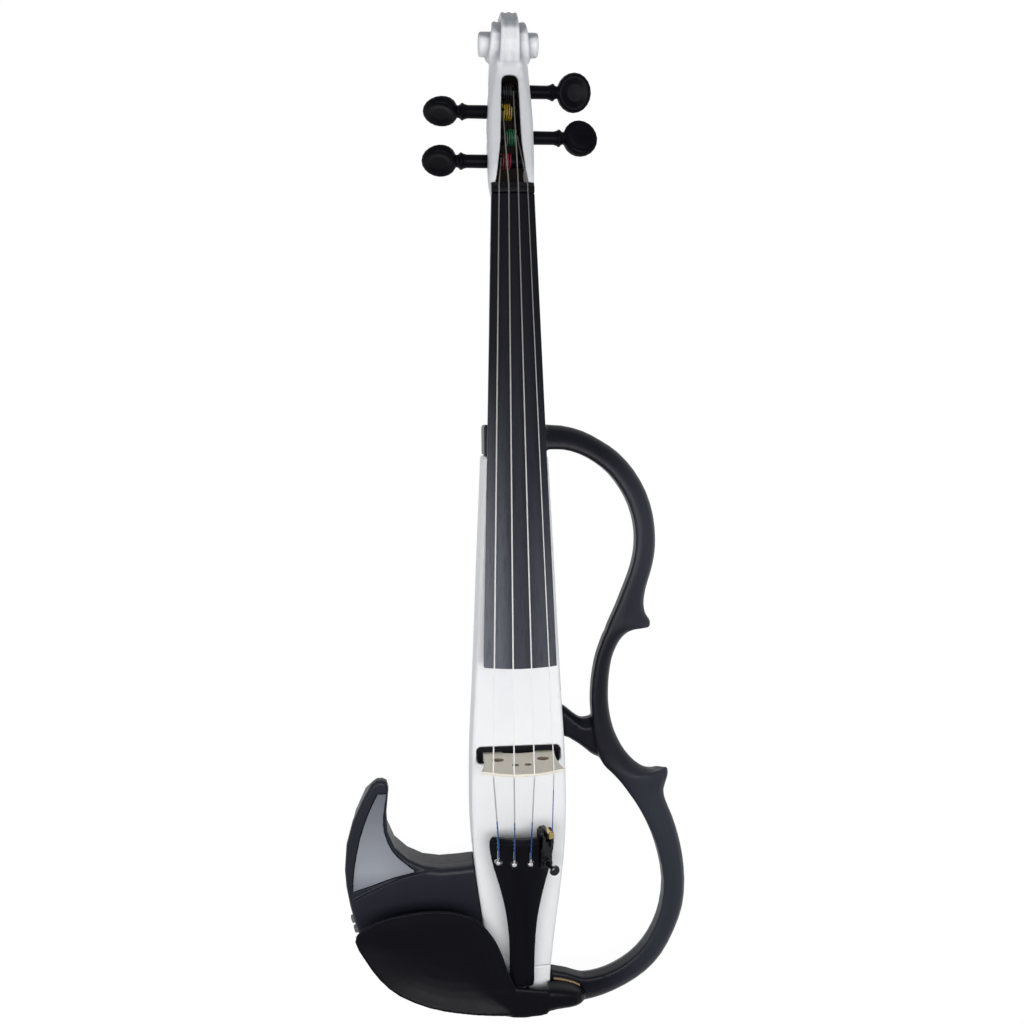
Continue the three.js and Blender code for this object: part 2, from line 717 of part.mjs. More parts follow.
// One peg: shank, flared collar and a dished head that thins away from the collar
function peg({ name, y, z, side, turn, stretch }) {
  const cheek = pegboxAt(y)[0];
  const collar = cheek + pegReach * stretch;
  const headCentre = collar + pegBead + pegHead;
  const profile = [
    [0, -cheek + edgeRound], [pegShaft, -cheek + edgeRound], [pegShaft, cheek + fitGap],
    [pegNeck, cheek + fitGap],
  ];
  for (const [radius, along] of beadShares) profile.push([pegNeck * radius, collar + pegBead * along]);
  profile.push([0, headCentre - pegHead / 3]);
  const shank = solid(revolve(profile, 14));
  const half = pegHeadThick / 2;
  const face = headShares.map(([r, h]) => [pegHead * r, half * h]);
  const disc = revolve(face.map(([r, h]) => [r, -h]).concat(face.slice().reverse()), 20).rotateX(Math.PI / 2);
  const points = disc.getAttribute('position');
  for (let i = 0; i < points.count; i++) {
    points.setX(i, (points.getX(i) * pegHeadWide) / pegHead);
    points.setZ(i, points.getZ(i) * (1 - (headTaper * points.getY(i)) / pegHead));
  }
  const head = placed(disc, 0, headCentre, 0);
  const holder = new THREE.Group();
  holder.position.set(0, y, z);
  holder.rotation.set(THREE.MathUtils.degToRad(turn), 0, (-side * Math.PI) / 2);
  piece(`peg_${name}`, shank.add(head), 'ebony', holder);
  instrument.add(holder);
}

// The strings' own lines: places across the nut and the bridge
const stringShares = [-0.5, -1 / 6, 1 / 6, 0.5];

function stringAtNut(i, y) {
  const x = spanAtNut * stringShares[i];
  const z = boardTopAtNut + nutRise - crownDrop(x, boardCrown) + stringRadii[i] + stringLift;
  return new THREE.Vector3(x, y, z);
}

function stringAtBridge(i) {
  const x = spanAtBridge * stringShares[i];
  return new THREE.Vector3(x, -bridgeTopThick / 2,
    bridgeTop - crownDrop(x, bridgeCrown) + stringRadii[i] + stringLift);
}

// Where a string meets its peg: the tangent point and the angle of the normal there
function windArrival(y) {
  const share = (y + windCentre - pegboxStart) / pegboxLength;
  return pegboxAt(y)[0] * tableAt(cavityShares, share) - windRadius - windClear;
}

function tangentAt(i) {
  const peg = pegs.find((entry) => entry.name === stringNames[i]);
  const start = stringAtNut(i, stringLength + nutDepth);
  const toStart = new THREE.Vector2(start.y - peg.y, start.z - peg.z);
  const angle = toStart.angle() - Math.acos(windCentre / toStart.length());
  const x = peg.side * windArrival(peg.y);
  return { peg, angle, point: new THREE.Vector3(x, peg.y + windCentre * Math.cos(angle),
    peg.z + windCentre * Math.sin(angle)) };
}

// The turns of string on a peg, with the least gap from one turn to the next
function winding(i, finish) {
  const { peg, angle, point } = tangentAt(i);
  const points = [];
  for (let k = 0; k <= windTurns * windSteps; k++) {
    const turned = angle - (2 * Math.PI * k) / windSteps;
    const x = point.x - peg.side * windPitch * (k / windSteps);
    points.push(new THREE.Vector3(x, peg.y + windCentre * Math.cos(turned),
      peg.z + windCentre * Math.sin(turned)));
  }
  let least = Infinity;
  points.forEach((a, m) => points.forEach((b, n) => {
    if (n - m > windSteps / 2) least = Math.min(least, a.distanceTo(b) - windRadius * 2);
  }));
  console.log(`winding_${peg.name}: least gap to itself ${least.toFixed(2)} mm`);
  piece(`winding_${peg.name}`, tube(points, windRadius, windSides), finish);
}

// Fingerboard and nut
function boardRing(y) {
  const halfWidth = boardHalfWidthAt(y);
  const ring = [new THREE.Vector3(-halfWidth, y, glueAt(y)), new THREE.Vector3(halfWidth, y, glueAt(y))];
  for (let k = 0; k <= 8; k++) {
    const x = halfWidth * (1 - k / 4);
    const rise = crownDrop(halfWidth, boardCrown) - crownDrop(x, boardCrown);
    ring.push(new THREE.Vector3(x, y, glueAt(y) + boardEdge + rise));
  }
  return ring;
}

function fingerboard() {
  const rings = [];
  for (let k = 0; k <= 6; k++) {
    rings.push(boardRing(stringLength - fitGap - (boardLength - fitGap) * (k / 6)));
  }
  piece('fingerboard', loft(rings), 'ebony');
}

function nut() {
  const ringAt = (y, rise) => {
    const ring = boardRing(stringLength).map((point) => new THREE.Vector3(point.x, y, point.z));
    return ring.map((point, i) => (i < 2 ? point : point.setZ(point.z + rise)));
  };
  const back = stringLength + nutDepth;
  piece('nut', loft([
    ringAt(stringLength, 0), ringAt(stringLength + nutDepth * 0.15, nutRise),
    ringAt(stringLength + nutDepth * 0.55, nutRise),
    ringAt(back, -nutDepth * 0.4),
  ]), 'ebony');
}

// Bridge: half outline from the inner foot up to the crown, in shares of the foot span and the height
const bridgeShares = [
  [0, 0.11], [0.12, 0.105], [0.19, 0.085], [0.225, 0.045], [0.23, 0],
  [0.48, 0], [0.48, 0.06], [0.474, 0.16], [0.474, 0.34], [0.487, 0.52], [0.509, 0.68], [0.545, 0.83],
];
// Holes on each side: place over the foot span and the height, half width and half height over the height
const bridgeHoleShares = [[0.3, 0.37, 0.105, 0.075], [0.082, 0.6, 0.062, 0.05]];

function bridge() {
  const half = bridgeShares.map(([x, z]) => [x * bridgeFootSpan, z * bridgeHeight]);
  const edge = half[half.length - 1][0];
  for (let k = 1; k <= 6; k++) {
    const x = edge * (1 - k / 6);
    half.push([x, bridgeHeight - crownDrop(x, bridgeCrown)]);
  }
  const outline = half.concat(half.slice(1, -1).reverse().map(([x, z]) => [-x, z]));
  const shape = new THREE.Shape(outline.map(([x, z]) => new THREE.Vector2(x, z)));
  for (const side of [-1, 1]) {
    for (const [x, z, wide, tall] of bridgeHoleShares) {
      const hole = new THREE.Path();
      hole.absellipse(side * bridgeFootSpan * x, bridgeHeight * z, bridgeHeight * wide,
        bridgeHeight * tall, 0, Math.PI * 2);
      shape.holes.push(hole);
    }
  }
  const thick = bridgeFootThick;
  const plate = new THREE.ExtrudeGeometry(shape, { depth: thick, bevelEnabled: false, curveSegments: 5 });
  const back = -bridgeTopThick;
  const blank = placed(plate, 0, back + thick, bridgeFoot, new THREE.Euler(Math.PI / 2, 0, 0));
  const wedge = new THREE.Shape([
    new THREE.Vector2(back - overrun, -overrun), new THREE.Vector2(back + thick, -overrun),
    new THREE.Vector2(back + thick, bridgeHeight * 0.1),
    new THREE.Vector2(back + bridgeTopThick, bridgeHeight),
    new THREE.Vector2(back + bridgeTopThick, bridgeHeight + overrun),
    new THREE.Vector2(back - overrun, bridgeHeight + overrun),
  ]);
  const taper = new THREE.ExtrudeGeometry(wedge, { depth: bridgeFootSpan * 2, bevelEnabled: false });
  const cutter = placed(taper, -bridgeFootSpan, 0, bridgeFoot, new THREE.Euler(Math.PI / 2, Math.PI / 2, 0));
  piece('bridge', blank.intersect(cutter), 'maple');
}

// Outline frame
const frameHead = bodyHead + yokeDepth;
const frameTail = -bodyTail - frameTailOverhang;
// Inner edge and outer edge of the rib in pairs, from the yoke round to the tail: X as a share of the
// reach, Y as a share of the length up from the tail
const frameShares = [
  [0.15, 0.958, 0.15, 1], [0.27, 0.958, 0.27, 0.998], [0.37, 0.95, 0.39, 0.989],
  [0.458, 0.936, 0.502, 0.972], [0.541, 0.916, 0.6, 0.952], [0.609, 0.889, 0.69, 0.923],
  [0.655, 0.862, 0.763, 0.886], [0.682, 0.833, 0.805, 0.846], [0.689, 0.805, 0.818, 0.808],
  [0.679, 0.777, 0.812, 0.777], [0.652, 0.749, 0.79, 0.749], [0.614, 0.721, 0.763, 0.723],
  [0.578, 0.695, 0.751, 0.698], [0.551, 0.678, 0.762, 0.679], [0.535, 0.668, 0.789, 0.6675],
  [0.524, 0.66, 0.786, 0.655], [0.516, 0.653, 0.725, 0.6545], [0.505, 0.647, 0.662, 0.649],
  [0.493, 0.638, 0.62, 0.639], [0.478, 0.626, 0.589, 0.625], [0.454, 0.603, 0.56, 0.603],
  [0.435, 0.569, 0.543, 0.569], [0.429, 0.538, 0.54, 0.535], [0.433, 0.513, 0.549, 0.51],
  [0.44, 0.487, 0.568, 0.486], [0.456, 0.458, 0.597, 0.465], [0.488, 0.431, 0.638, 0.444],
  [0.522, 0.418, 0.696, 0.425], [0.541, 0.413, 0.754, 0.4135], [0.57, 0.404, 0.831, 0.408],
  [0.594, 0.396, 0.893, 0.4115], [0.623, 0.385, 0.898, 0.396], [0.657, 0.371, 0.872, 0.372],
  [0.696, 0.354, 0.889, 0.35], [0.744, 0.329, 0.923, 0.326], [0.792, 0.298, 0.957, 0.295],
  [0.831, 0.261, 0.986, 0.257], [0.857, 0.215, 1, 0.212], [0.841, 0.17, 0.988, 0.166],
  [0.798, 0.133, 0.937, 0.122], [0.737, 0.104, 0.86, 0.08], [0.661, 0.082, 0.763, 0.05],
  [0.565, 0.065, 0.638, 0.027], [0.473, 0.056, 0.502, 0.0105], [0.377, 0.0535, 0.386, 0.003],
  [0.28, 0.0635, 0.27, 0], [0.14, 0.073, 0.14, 0],
];
// Section from the inner edge (0) to the outer edge (1): share across, share of the thickness below the top
const ribShares = [
  [0, 0.05], [0.05, 0], [0.3, 0.01], [0.56, 0.07], [0.8, 0.2], [0.95, 0.38], [1, 0.56], [0.86, 0.84],
  [0.5, 1], [0.14, 0.88], [0, 0.55],
];

function ribRing([innerX, innerY, outerX, outerY]) {
  const across = (share, n) => THREE.MathUtils.lerp([innerX, innerY][n], [outerX, outerY][n], share);
  return ribShares.map(([share, drop]) => new THREE.Vector3(
    frameReach * across(share, 0),
    THREE.MathUtils.lerp(frameTail, frameHead, across(share, 1)),
    frameTop - frameThick * drop,
  ));
}

// The waist arm, from the body's side to the rib: share of the way out, upper and lower Y, top, bottom
const waistArmShares = [
  [-0.4, 0.295, 0.05, 0.9, 0.62], [0, 0.272, 0.085, 0.9, 0.62], [0.35, 0.222, 0.055, 0.905, 0.6],
  [0.65, 0.19, 0.02, 0.93, 0.58], [1, 0.2, -0.03, 0.94, 0.57], [1.25, 0.22, -0.05, 0.92, 0.6],
];
const waistShare = 0.44;
const armReach = frameReach * waistShare - bodyHalfWidth;
const armUnit = (frameHead - frameTail) * 0.281;

function waistArm() {
  const rings = smooth(waistArmShares, 2).map(([out, upper, lower, top, bottom]) => {
    const x = bodyHalfWidth + armReach * out;
    const [high, low] = [frameTop * top, frameTop * bottom];
    const [front, back] = [armUnit * upper, armUnit * lower];
    const lean = (high - low) * 0.3;
    const points = [[front, high - lean], [front - lean, high], [back + lean / 2, high - lean / 4],
      [back, high - lean]];
    points.push([back, low + lean], [back + lean, low], [front - lean, low], [front, low + lean]);
    return points.map(([y, z]) => new THREE.Vector3(x, y, z));
  });
  return loft(rings);
}

const screwShank = 1.6;
const screwHead = 3;
const screwHeadThick = 1.8;
const screwLength = 9;
const yokeScrewPlaces = [-7.5, 7.5];
const yokeScrewLine = bodyHead + yokeDepth / 2;
const yokeBottom = heelBottom - fitGap - yokeFloor;

function yoke() {
  const inner = heelHalfWidth + fitGap;
  const ringAt = (y, draw) => {
    const low = yokeBottom + draw;
    const halfWidth = yokeHalfWidth - draw;
    const round = (yokeHalfWidth - inner) * 1.4;
    const corners = [[halfWidth, frameTop - draw], [halfWidth, low + round * 2],
      [halfWidth - round, low + round / 2]];
    corners.push([halfWidth - round * 2.2, low]);
    const ring = corners.concat(corners.slice().reverse().map(([x, z]) => [-x, z]));
    return ring.map(([x, z]) => new THREE.Vector3(x, y, z));
  };
  const low = bodyHead + fitGap;
  const blank = loft([ringAt(low, 0), ringAt(heelStart - edgeRound, 0), ringAt(heelStart, edgeRound)]);
  return blank;
}

function frame() {
  const rings = smooth(frameShares, 2).map(ribRing);
  let shape = loft(rings).add(yoke()).add(waistArm());
  shape = shape.subtract(block(-heelHalfWidth - fitGap, heelHalfWidth + fitGap, bodyHead - overrun,
    heelStart + overrun,
    heelBottom - fitGap, frameTop + overrun));
  shape = shape.subtract(bodyCutter.intersect(block(-frameReach, frameReach, -bodyTail - overrun,
    bodyHead + fitGap,
    -overrun, bodyDepth + overrun)));
  shape = shape.subtract(rod('z', barrelRadius + slideGap * 2, -overrun, bodyDepth + overrun,
    clampSpan / 2, -barrelLine, 20));
  for (const x of yokeScrewPlaces) {
    shape = shape.subtract(rod('z', screwShank + fitGap, -overrun, heelBottom + overrun, x, yokeScrewLine,
      12));
    shape = shape.subtract(rod('z', screwHead + fitGap, -overrun, yokeBottom + screwHeadThick + fitGap, x,
      yokeScrewLine, 16));
  }
  piece('frame', shape, 'matte');
}

function screw(name, x, y, headLow, length) {
  const head = new THREE.Shape();
  head.absarc(0, 0, screwHead, 0, Math.PI * 2, false);
  const socket = new THREE.Path();
  for (let k = 0; k <= 6; k++) {
    const angle = (-Math.PI * k) / 3;
    const [px, py] = [screwHead * 0.45 * Math.cos(angle), screwHead * 0.45 * Math.sin(angle)];
    if (k === 0) socket.moveTo(px, py);
    else socket.lineTo(px, py);
  }
  head.holes.push(socket);
  const ring = placed(new THREE.ExtrudeGeometry(head,
    { depth: screwHeadThick / 2, bevelEnabled: false, curveSegments: 6 }),
    x, y, headLow);
  const disc = rod('z', screwHead, headLow + screwHeadThick / 2, headLow + screwHeadThick, x, y, 12);
  const shank = rod('z', screwShank, headLow + screwHeadThick / 2, headLow + length, x, y, 8);
  piece(name, ring.add(disc).add(shank), 'steel');
}

// Control housing
// Outer edge from the horn round to the tail, then the inner edge back up to the horn: X as a share of
// the reach, Y as a share of the way from the horn to the tail
const housingOuterShares = [
  [0.742, 0.04], [0.752, 0.008], [0.778, -0.002], [0.81, 0], [0.842, 0.018], [0.892, 0.085],
  [0.951, 0.182], [0.988, 0.283], [1, 0.394], [0.993, 0.47], [0.974, 0.553], [0.946, 0.64],
  [0.899, 0.742], [0.817, 0.84], [0.692, 0.92], [0.529, 0.974], [0.346, 0.998], [0.1, 1],
];
const housingInnerShares = [
  [0.1, 0.394], [0.25, 0.394], [0.35, 0.4], [0.452, 0.403], [0.548, 0.391], [0.635, 0.358], [0.71, 0.305],
  [0.75, 0.232], [0.757, 0.148],
];

// The hollow inside, which stops short of the horn's tip
const housingHollowShares = [
  [0.788, 0.12], [0.875, 0.12], [0.917, 0.192], [0.952, 0.286], [0.967, 0.393], [0.961, 0.468],
  [0.942, 0.549], [0.913, 0.632], [0.865, 0.731], [0.788, 0.822], [0.673, 0.897], [0.519, 0.948],
  [0.346, 0.972], [0.29, 0.972], [0.29, 0.421], [0.452, 0.427], [0.558, 0.417], [0.659, 0.381],
  [0.736, 0.323], [0.783, 0.239], [0.79, 0.163],
];

function housingPlan(shares) {
  return shares.map(([x, y]) => [-housingReach * x, -housingHorn - housingSpan * y]);
}

function housingOutline() {
  return housingPlan(housingOuterShares.concat(housingInnerShares));
}

// The edge of the raised deck, and the inlaid panel above it
const deckEdgeShares = [
  [1.02, 0.565], [0.956, 0.527], [0.817, 0.476], [0.686, 0.435], [0.57, 0.413], [0.45, 0.403], [0.25, 0.395],
];
const panelSideShares = [
  [0.594, 0.41], [0.66, 0.37], [0.728, 0.314], [0.771, 0.233], [0.775, 0.156], [0.754, 0.058],
];
const panelOuterShares = [[0.803, 0.058], [0.857, 0.142], [0.908, 0.254], [0.945, 0.394], [0.953, 0.487]];
const panelTipShare = 0.605;
const panelFootShares = [[0.846, 0.462], [0.721, 0.431]];

function panelOutline() {
  return housingPlan(smooth(panelSideShares, 2).concat(smooth(panelOuterShares, 2), panelFootShares));
}

const batteryBay = slideGap * 2;
const doorThick = wall;
const doorLip = 2.2;
const bayHalf = new THREE.Vector2(batterySize.x / 2 + batteryBay, batterySize.y / 2 + batteryBay);
const batteryLow = housingBottom + doorThick + fitGap;
const baySeatHigh = batteryLow + batterySize.z + fitGap;
const bossRadius = 4.6;
const screwPlaces = [housingPoint(0.8077, 0.2353), housingPoint(0.394, 0.4975),
  housingPoint(0.3365, 0.8762), housingPoint(0.7308, 0.8573)];
const screwFloor = 2.6;

// Volume wheel and the two sockets on the outer wall
const wheelRadius = 8;
const wheelThick = 3.4;
const wheelPlace = housingPoint(0.9135, 0.523);
const wheelLevel = 24;
const wheelTeeth = 20;
const axleRadius = 1.4;
const jackRadius = 2.5;
const jackBore = 1.75;
const jackLength = 12;
const jackCollar = 0.7;
const jackLevel = 34.4;
const jackPlaces = [housingPoint(0.9615, 0.6257), housingPoint(0.9462, 0.6708)];
const jackTurnAngle = 17;
const switchPlaces = [housingPoint(0.6731, 0.512), housingPoint(0.5192, 0.512)];
const switchTravel = 3.5;
const switchKnob = new THREE.Vector3(4, 4.6, 1.6);
const switchBlock = new THREE.Vector3(8, 7, 3);

// Levels and insets of an outer edge rounded off under a top face
function rounded(top, radius) {
  return [90, 60, 30, 0].map((degrees) => {
    const angle = THREE.MathUtils.degToRad(degrees);
    return [top - radius * (1 - Math.cos(angle)), radius * (1 - Math.sin(angle))];
  });
}

function housingFront() {
  const outline = housingOutline();
  let shape = layers(outline, [[housingParting + fitGap, 0], ...rounded(housingTop, rimRound)]);
  const deck = layers(outline, rounded(housingTop + deckRise, deckRound));
  const edge = housingPlan(smooth(deckEdgeShares, 2));
  const below = edge.concat([[0, -bodyTail - overrun * 2], [-housingReach * 1.1, -bodyTail - overrun * 2]]);
  const deckLow = housingTop + deckRise - deckRound;
  shape = shape.add(deck.intersect(layers(below, [[deckLow, 0], [housingTop + deckRise + overrun, 0]])));
  const hollow = layers(housingPlan(housingHollowShares), [
    [housingParting - overrun, 0], [housingTop - wall - panelThick, 0],
  ]);
  const pocket = layers(panelOutline(), [[housingTop - panelThick, -panelGroove],
    [housingTop + overrun, -panelGroove]]);
  shape = shape.subtract(hollow.subtract(bossesSolid(0))).subtract(pocket).subtract(bodyCutter)
    .subtract(leadTool);
  for (const place of screwPlaces) {
    shape = shape.subtract(rod('z', screwShank + fitGap, 0, housingTop - wall, place.x, place.y, 12));
  }
  for (const place of jackPlaces) {
    shape = shape.subtract(jackTool(place, jackRadius + fitGap, jackLength + fitGap));
  }
  piece('housing_front', shape, 'matte');
}

function bossesSolid(grow) {
  return screwPlaces.map((place) => rod('z', bossRadius + grow, 0, housingTop, place.x, place.y, 14))
    .reduce((sum, boss) => sum.add(boss));
}

function jackTool(place, radius, length) {
  const geometry = new THREE.CylinderGeometry(radius, radius, length * 2, 16);
  const turn = new THREE.Euler(0, 0, Math.PI / 2 + THREE.MathUtils.degToRad(jackTurnAngle));
  return placed(geometry, place.x, place.y, jackLevel, turn);
}

function bayWalls(grow) {
  const [x, y] = [batteryPlace.x, batteryPlace.y];
  return block(x - bayHalf.x - grow, x + bayHalf.x + grow, y - bayHalf.y - grow, y + bayHalf.y + grow,
    housingBottom - overrun * grow / wall, housingParting);
}

// The back shell's outer form, drawn in by a distance
function backForm(draw) {
  return layers(inset(housingOutline(), ledge + draw), [
    [housingBottom, underRound], [housingBottom + underRound, underRound * 0.3],
    [housingBottom + underRound * 2, 0], [housingParting, 0],
  ]);
}

// The battery door: a plate that slides out towards the outer edge on two side tongues
function doorForm(grow) {
  const [x, y] = [batteryPlace.x, batteryPlace.y];
  const [near, far] = [x + bayHalf.x - slideGap + grow, -housingReach - overrun];
  const middle = housingBottom + doorThick / 2;
  const half = bayHalf.y - slideGap + grow;
  const plate = block(far, near, y - half, y + half, housingBottom - overrun,
    housingBottom + doorThick + grow / 2);
  const tongue = block(far, near, y - half - doorLip, y + half + doorLip, middle - grow / 2 + slideGap / 2,
    housingBottom + doorThick + grow / 2);
  return plate.add(tongue);
}

// The back shell is cut away on a slope under the horn's tip
const tipCut = 12;

function tipTool() {
  const tip = -housingHorn - ledge;
  const profile = [
    [tip + overrun, housingParting + overrun], [tip, housingParting], [tip - tipCut, housingBottom],
    [tip - tipCut, housingBottom - overrun], [tip + overrun, housingBottom - overrun],
  ];
  return loft([-housingReach - overrun, 0].map((x) => profile.map(([y, z]) => new THREE.Vector3(x, y, z))));
}

function housingBack() {
  const outer = backForm(0).subtract(tipTool());
  const hollow = layers(housingPlan(housingHollowShares), [
    [housingBottom + wall, underRound], [housingBottom + underRound * 2, ledge],
    [housingParting + overrun, ledge],
  ]);
  const [x, y] = [batteryPlace.x, batteryPlace.y];
  const bay = block(x - bayHalf.x, x + bayHalf.x, y - bayHalf.y, y + bayHalf.y, housingBottom - overrun,
    baySeatHigh);
  const rails = block(x - bayHalf.x - doorLip - wall, x + bayHalf.x + wall, y - bayHalf.y - doorLip - wall,
    y + bayHalf.y + doorLip + wall, housingBottom, housingBottom + doorThick + wall);
  let shape = outer.subtract(hollow.subtract(bossesSolid(0)).subtract(bayWalls(wall)).subtract(rails));
  shape = shape.subtract(bay).subtract(doorForm(slideGap)).subtract(bodyCutter).subtract(leadTool);
  for (const place of screwPlaces) {
    shape = shape.subtract(rod('z', screwShank + fitGap, 0, housingTop, place.x, place.y, 12));
    shape = shape.subtract(rod('z', screwHead + fitGap, 0, housingBottom + screwHeadThick + screwFloor,
      place.x, place.y, 16));
  }
  for (const place of switchPlaces) {
    shape = shape.subtract(block(place.x - switchKnob.x / 2 - slideGap - switchTravel / 2,
      place.x + switchKnob.x / 2 + slideGap + switchTravel / 2, place.y - switchKnob.y / 2 - slideGap,
      place.y + switchKnob.y / 2 + slideGap, housingBottom - overrun, housingBottom + wall + overrun));
  }
  shape = shape.subtract(rod('z', wheelRadius + slideGap * 2, wheelLevel - slideGap,
    wheelLevel + wheelThick + slideGap,
    wheelPlace.x, wheelPlace.y, 24));
  shape = shape.add(rod('z', axleRadius, housingBottom + wall / 2, wheelLevel + wheelThick + fitGap,
    wheelPlace.x, wheelPlace.y, 12));
  shape = shape.add(rod('z', axleRadius * 2, housingBottom + wall / 2, wheelLevel - slideGap,
    wheelPlace.x, wheelPlace.y, 14));
  for (const place of jackPlaces) {
    shape = shape.subtract(jackTool(place, jackRadius + fitGap, jackLength + fitGap));
  }
  piece('housing_back', shape, 'matte');
}

// Panel, circuit board, battery and its sliding door
function panel() {
  const sheet = layers(panelOutline(), [
    [housingTop - panelThick + fitGap / 2, 0], [housingTop - edgeRound * 0.2, 0],
    [housingTop, edgeRound * 0.3],
  ]);
  const tip = -housingReach * panelTipShare;
  piece('housing_panel', sheet.subtract(block(tip, 0, -housingTail, 0, 0, housingTop + overrun)), 'panel');
}

const boardNear = housingPoint(0.327, 0.4355);
const boardFar = housingPoint(0.846, 0.4355);
const chipHeight = 2.2;
const standoff = 2.4;

function circuitBoard() {
  const [x0, x1, y1] = [boardFar.x, boardNear.x, boardNear.y];
  const y0 = batteryPlace.y + bayHalf.y + wall + fitGap * 2;
  const top = boardLevel + boardThick;
  let shape = block(x0, x1, y0, y1, boardLevel, top);
  for (const place of screwPlaces) {
    shape = shape.subtract(rod('z', bossRadius + fitGap, 0, housingTop, place.x, place.y, 16));
  }
  shape = shape.subtract(rod('z', wheelRadius + slideGap * 3, 0, housingTop, wheelPlace.x, wheelPlace.y, 20));
  const chip = (x, y, w, d) => block(x - w / 2, x + w / 2, y - d / 2, y + d / 2, top - overrun / 4,
    top + chipHeight);
  const width = (x1 - x0) / 8;
  shape = shape.add(chip(x0 + width * 3, y0 + width, width, width))
    .add(chip(x0 + width * 5, y0 + width * 2, width * 1.4, width));
  const legs = [[x0 + width * 2.4, y1 - standoff], [x0 + width * 4, y0 + standoff * 1.4],
    [x1 - standoff * 1.5, y0 + standoff * 1.5]];
  for (const [x, y] of legs) {
    shape = shape.add(rod('z', standoff / 2, housingBottom + wall + fitGap, boardLevel + boardThick / 2,
      x, y, 10));
  }
  piece('circuit_board', shape, 'board');
}

const gripShare = 0.4;
const gripCount = 5;
const gripWidth = 0.8;
const gripDeep = 0.6;
const contactRadius = 3.2;
const contactRise = 2.2;

function battery() {
  const half = batterySize.clone().multiplyScalar(0.5);
  const [x, y] = [batteryPlace.x, batteryPlace.y];
  const round = wall;
  const length = batterySize.x - contactRise;
  const shape = new THREE.Shape();
  shape.moveTo(-half.y + round, 0);
  shape.lineTo(half.y - round, 0);
  shape.absarc(half.y - round, round, round, -Math.PI / 2, 0, false);
  shape.absarc(half.y - round, batterySize.z - round, round, 0, Math.PI / 2, false);
  shape.absarc(-half.y + round, batterySize.z - round, round, Math.PI / 2, Math.PI, false);
  shape.absarc(-half.y + round, round, round, Math.PI, Math.PI * 1.5, false);
  const geometry = new THREE.ExtrudeGeometry(shape, { depth: length, bevelEnabled: false, curveSegments: 3 });
  let cell = placed(geometry, x - half.x, y, batteryLow, new THREE.Euler(Math.PI / 2, Math.PI / 2, 0));
  for (const side of [-1, 1]) {
    cell = cell.add(rod('x', contactRadius, x + half.x - contactRise * 2, x + half.x, y + (side * half.y) / 2,
      batteryLow + half.z, 12));
  }
  piece('battery', cell, 'battery');
}

function batteryDoor() {
  const [x, y] = [batteryPlace.x, batteryPlace.y];
  let door = doorForm(0).intersect(backForm(0));
  const gripStart = x + bayHalf.x * gripShare;
  for (let k = 0; k < gripCount; k++) {
    const at = gripStart + k * wall;
    door = door.subtract(block(at, at + gripWidth, y - bayHalf.y / 2, y + bayHalf.y / 2,
      housingBottom - overrun, housingBottom + gripDeep));
  }
  piece('battery_door', door, 'matte');
}

function volumeWheel() {
  const shape = new THREE.Shape();
  for (let k = 0; k < wheelTeeth * 2; k++) {
    const angle = (Math.PI * k) / wheelTeeth;
    const radius = k % 2 ? wheelRadius : wheelRadius * 0.93;
    const [x, y] = [radius * Math.cos(angle), radius * Math.sin(angle)];
    if (k === 0) shape.moveTo(x, y);
    else shape.lineTo(x, y);
  }
  const bore = new THREE.Path();
  bore.absarc(0, 0, axleRadius + fitGap / 2, 0, Math.PI * 2, true);
  shape.holes.push(bore);
  const geometry = new THREE.ExtrudeGeometry(shape,
    { depth: wheelThick, bevelEnabled: false, curveSegments: 8 });
  piece('volume_wheel', placed(geometry, wheelPlace.x, wheelPlace.y, wheelLevel), 'black');
}

// Slide switches: a block inside the wall with a ridged thumb piece through its slot
function slideSwitch(name, place) {
  const inside = housingBottom + wall + slideGap;
  const body = block(place.x - switchBlock.x / 2, place.x + switchBlock.x / 2, place.y - switchBlock.y / 2,
    place.y + switchBlock.y / 2, inside, inside + switchBlock.z);
  let knob = block(place.x - switchKnob.x / 2 - switchTravel / 2,
    place.x + switchKnob.x / 2 - switchTravel / 2,
    place.y - switchKnob.y / 2, place.y + switchKnob.y / 2, housingBottom - switchKnob.z,
    inside + switchBlock.z / 2);
  for (const k of [-1, 0, 1]) {
    const x = place.x - switchTravel / 2 + (k * switchKnob.x) / 3.4;
    knob = knob.subtract(block(x - edgeRound / 4, x + edgeRound / 4, place.y - switchKnob.y,
      place.y + switchKnob.y,
      housingBottom - switchKnob.z - overrun, housingBottom - switchKnob.z + edgeRound / 2));
  }
  piece(name, body.add(knob), 'black');
}

// A socket in the outer wall, with a bright collar round its bore
function jack(name, place) {
  const profile = [
    [jackBore, -jackCollar], [jackRadius * 0.9, -jackCollar], [jackRadius, -jackCollar * 0.5],
    [jackRadius, jackLength], [0, jackLength], [0, jackLength - wall], [jackBore, jackLength - wall],
    [jackBore, -jackCollar],
  ];
  const geometry = new THREE.LatheGeometry(profile.map(([r, h]) => new THREE.Vector2(r, h)), 16);
  const holder = new THREE.Group();
  holder.position.set(place.x, place.y, jackLevel);
  holder.rotation.set(0, 0, -Math.PI / 2 + THREE.MathUtils.degToRad(jackTurnAngle));
  piece(name, solid(geometry), 'steel', holder);
  instrument.add(holder);
}

// Chinrest: a dished cup whose plan is a smooth closed curve round a centre, and an arm over the tail
const chinReach = 97.6;
const chinCentre = new THREE.Vector2(-50, -118);
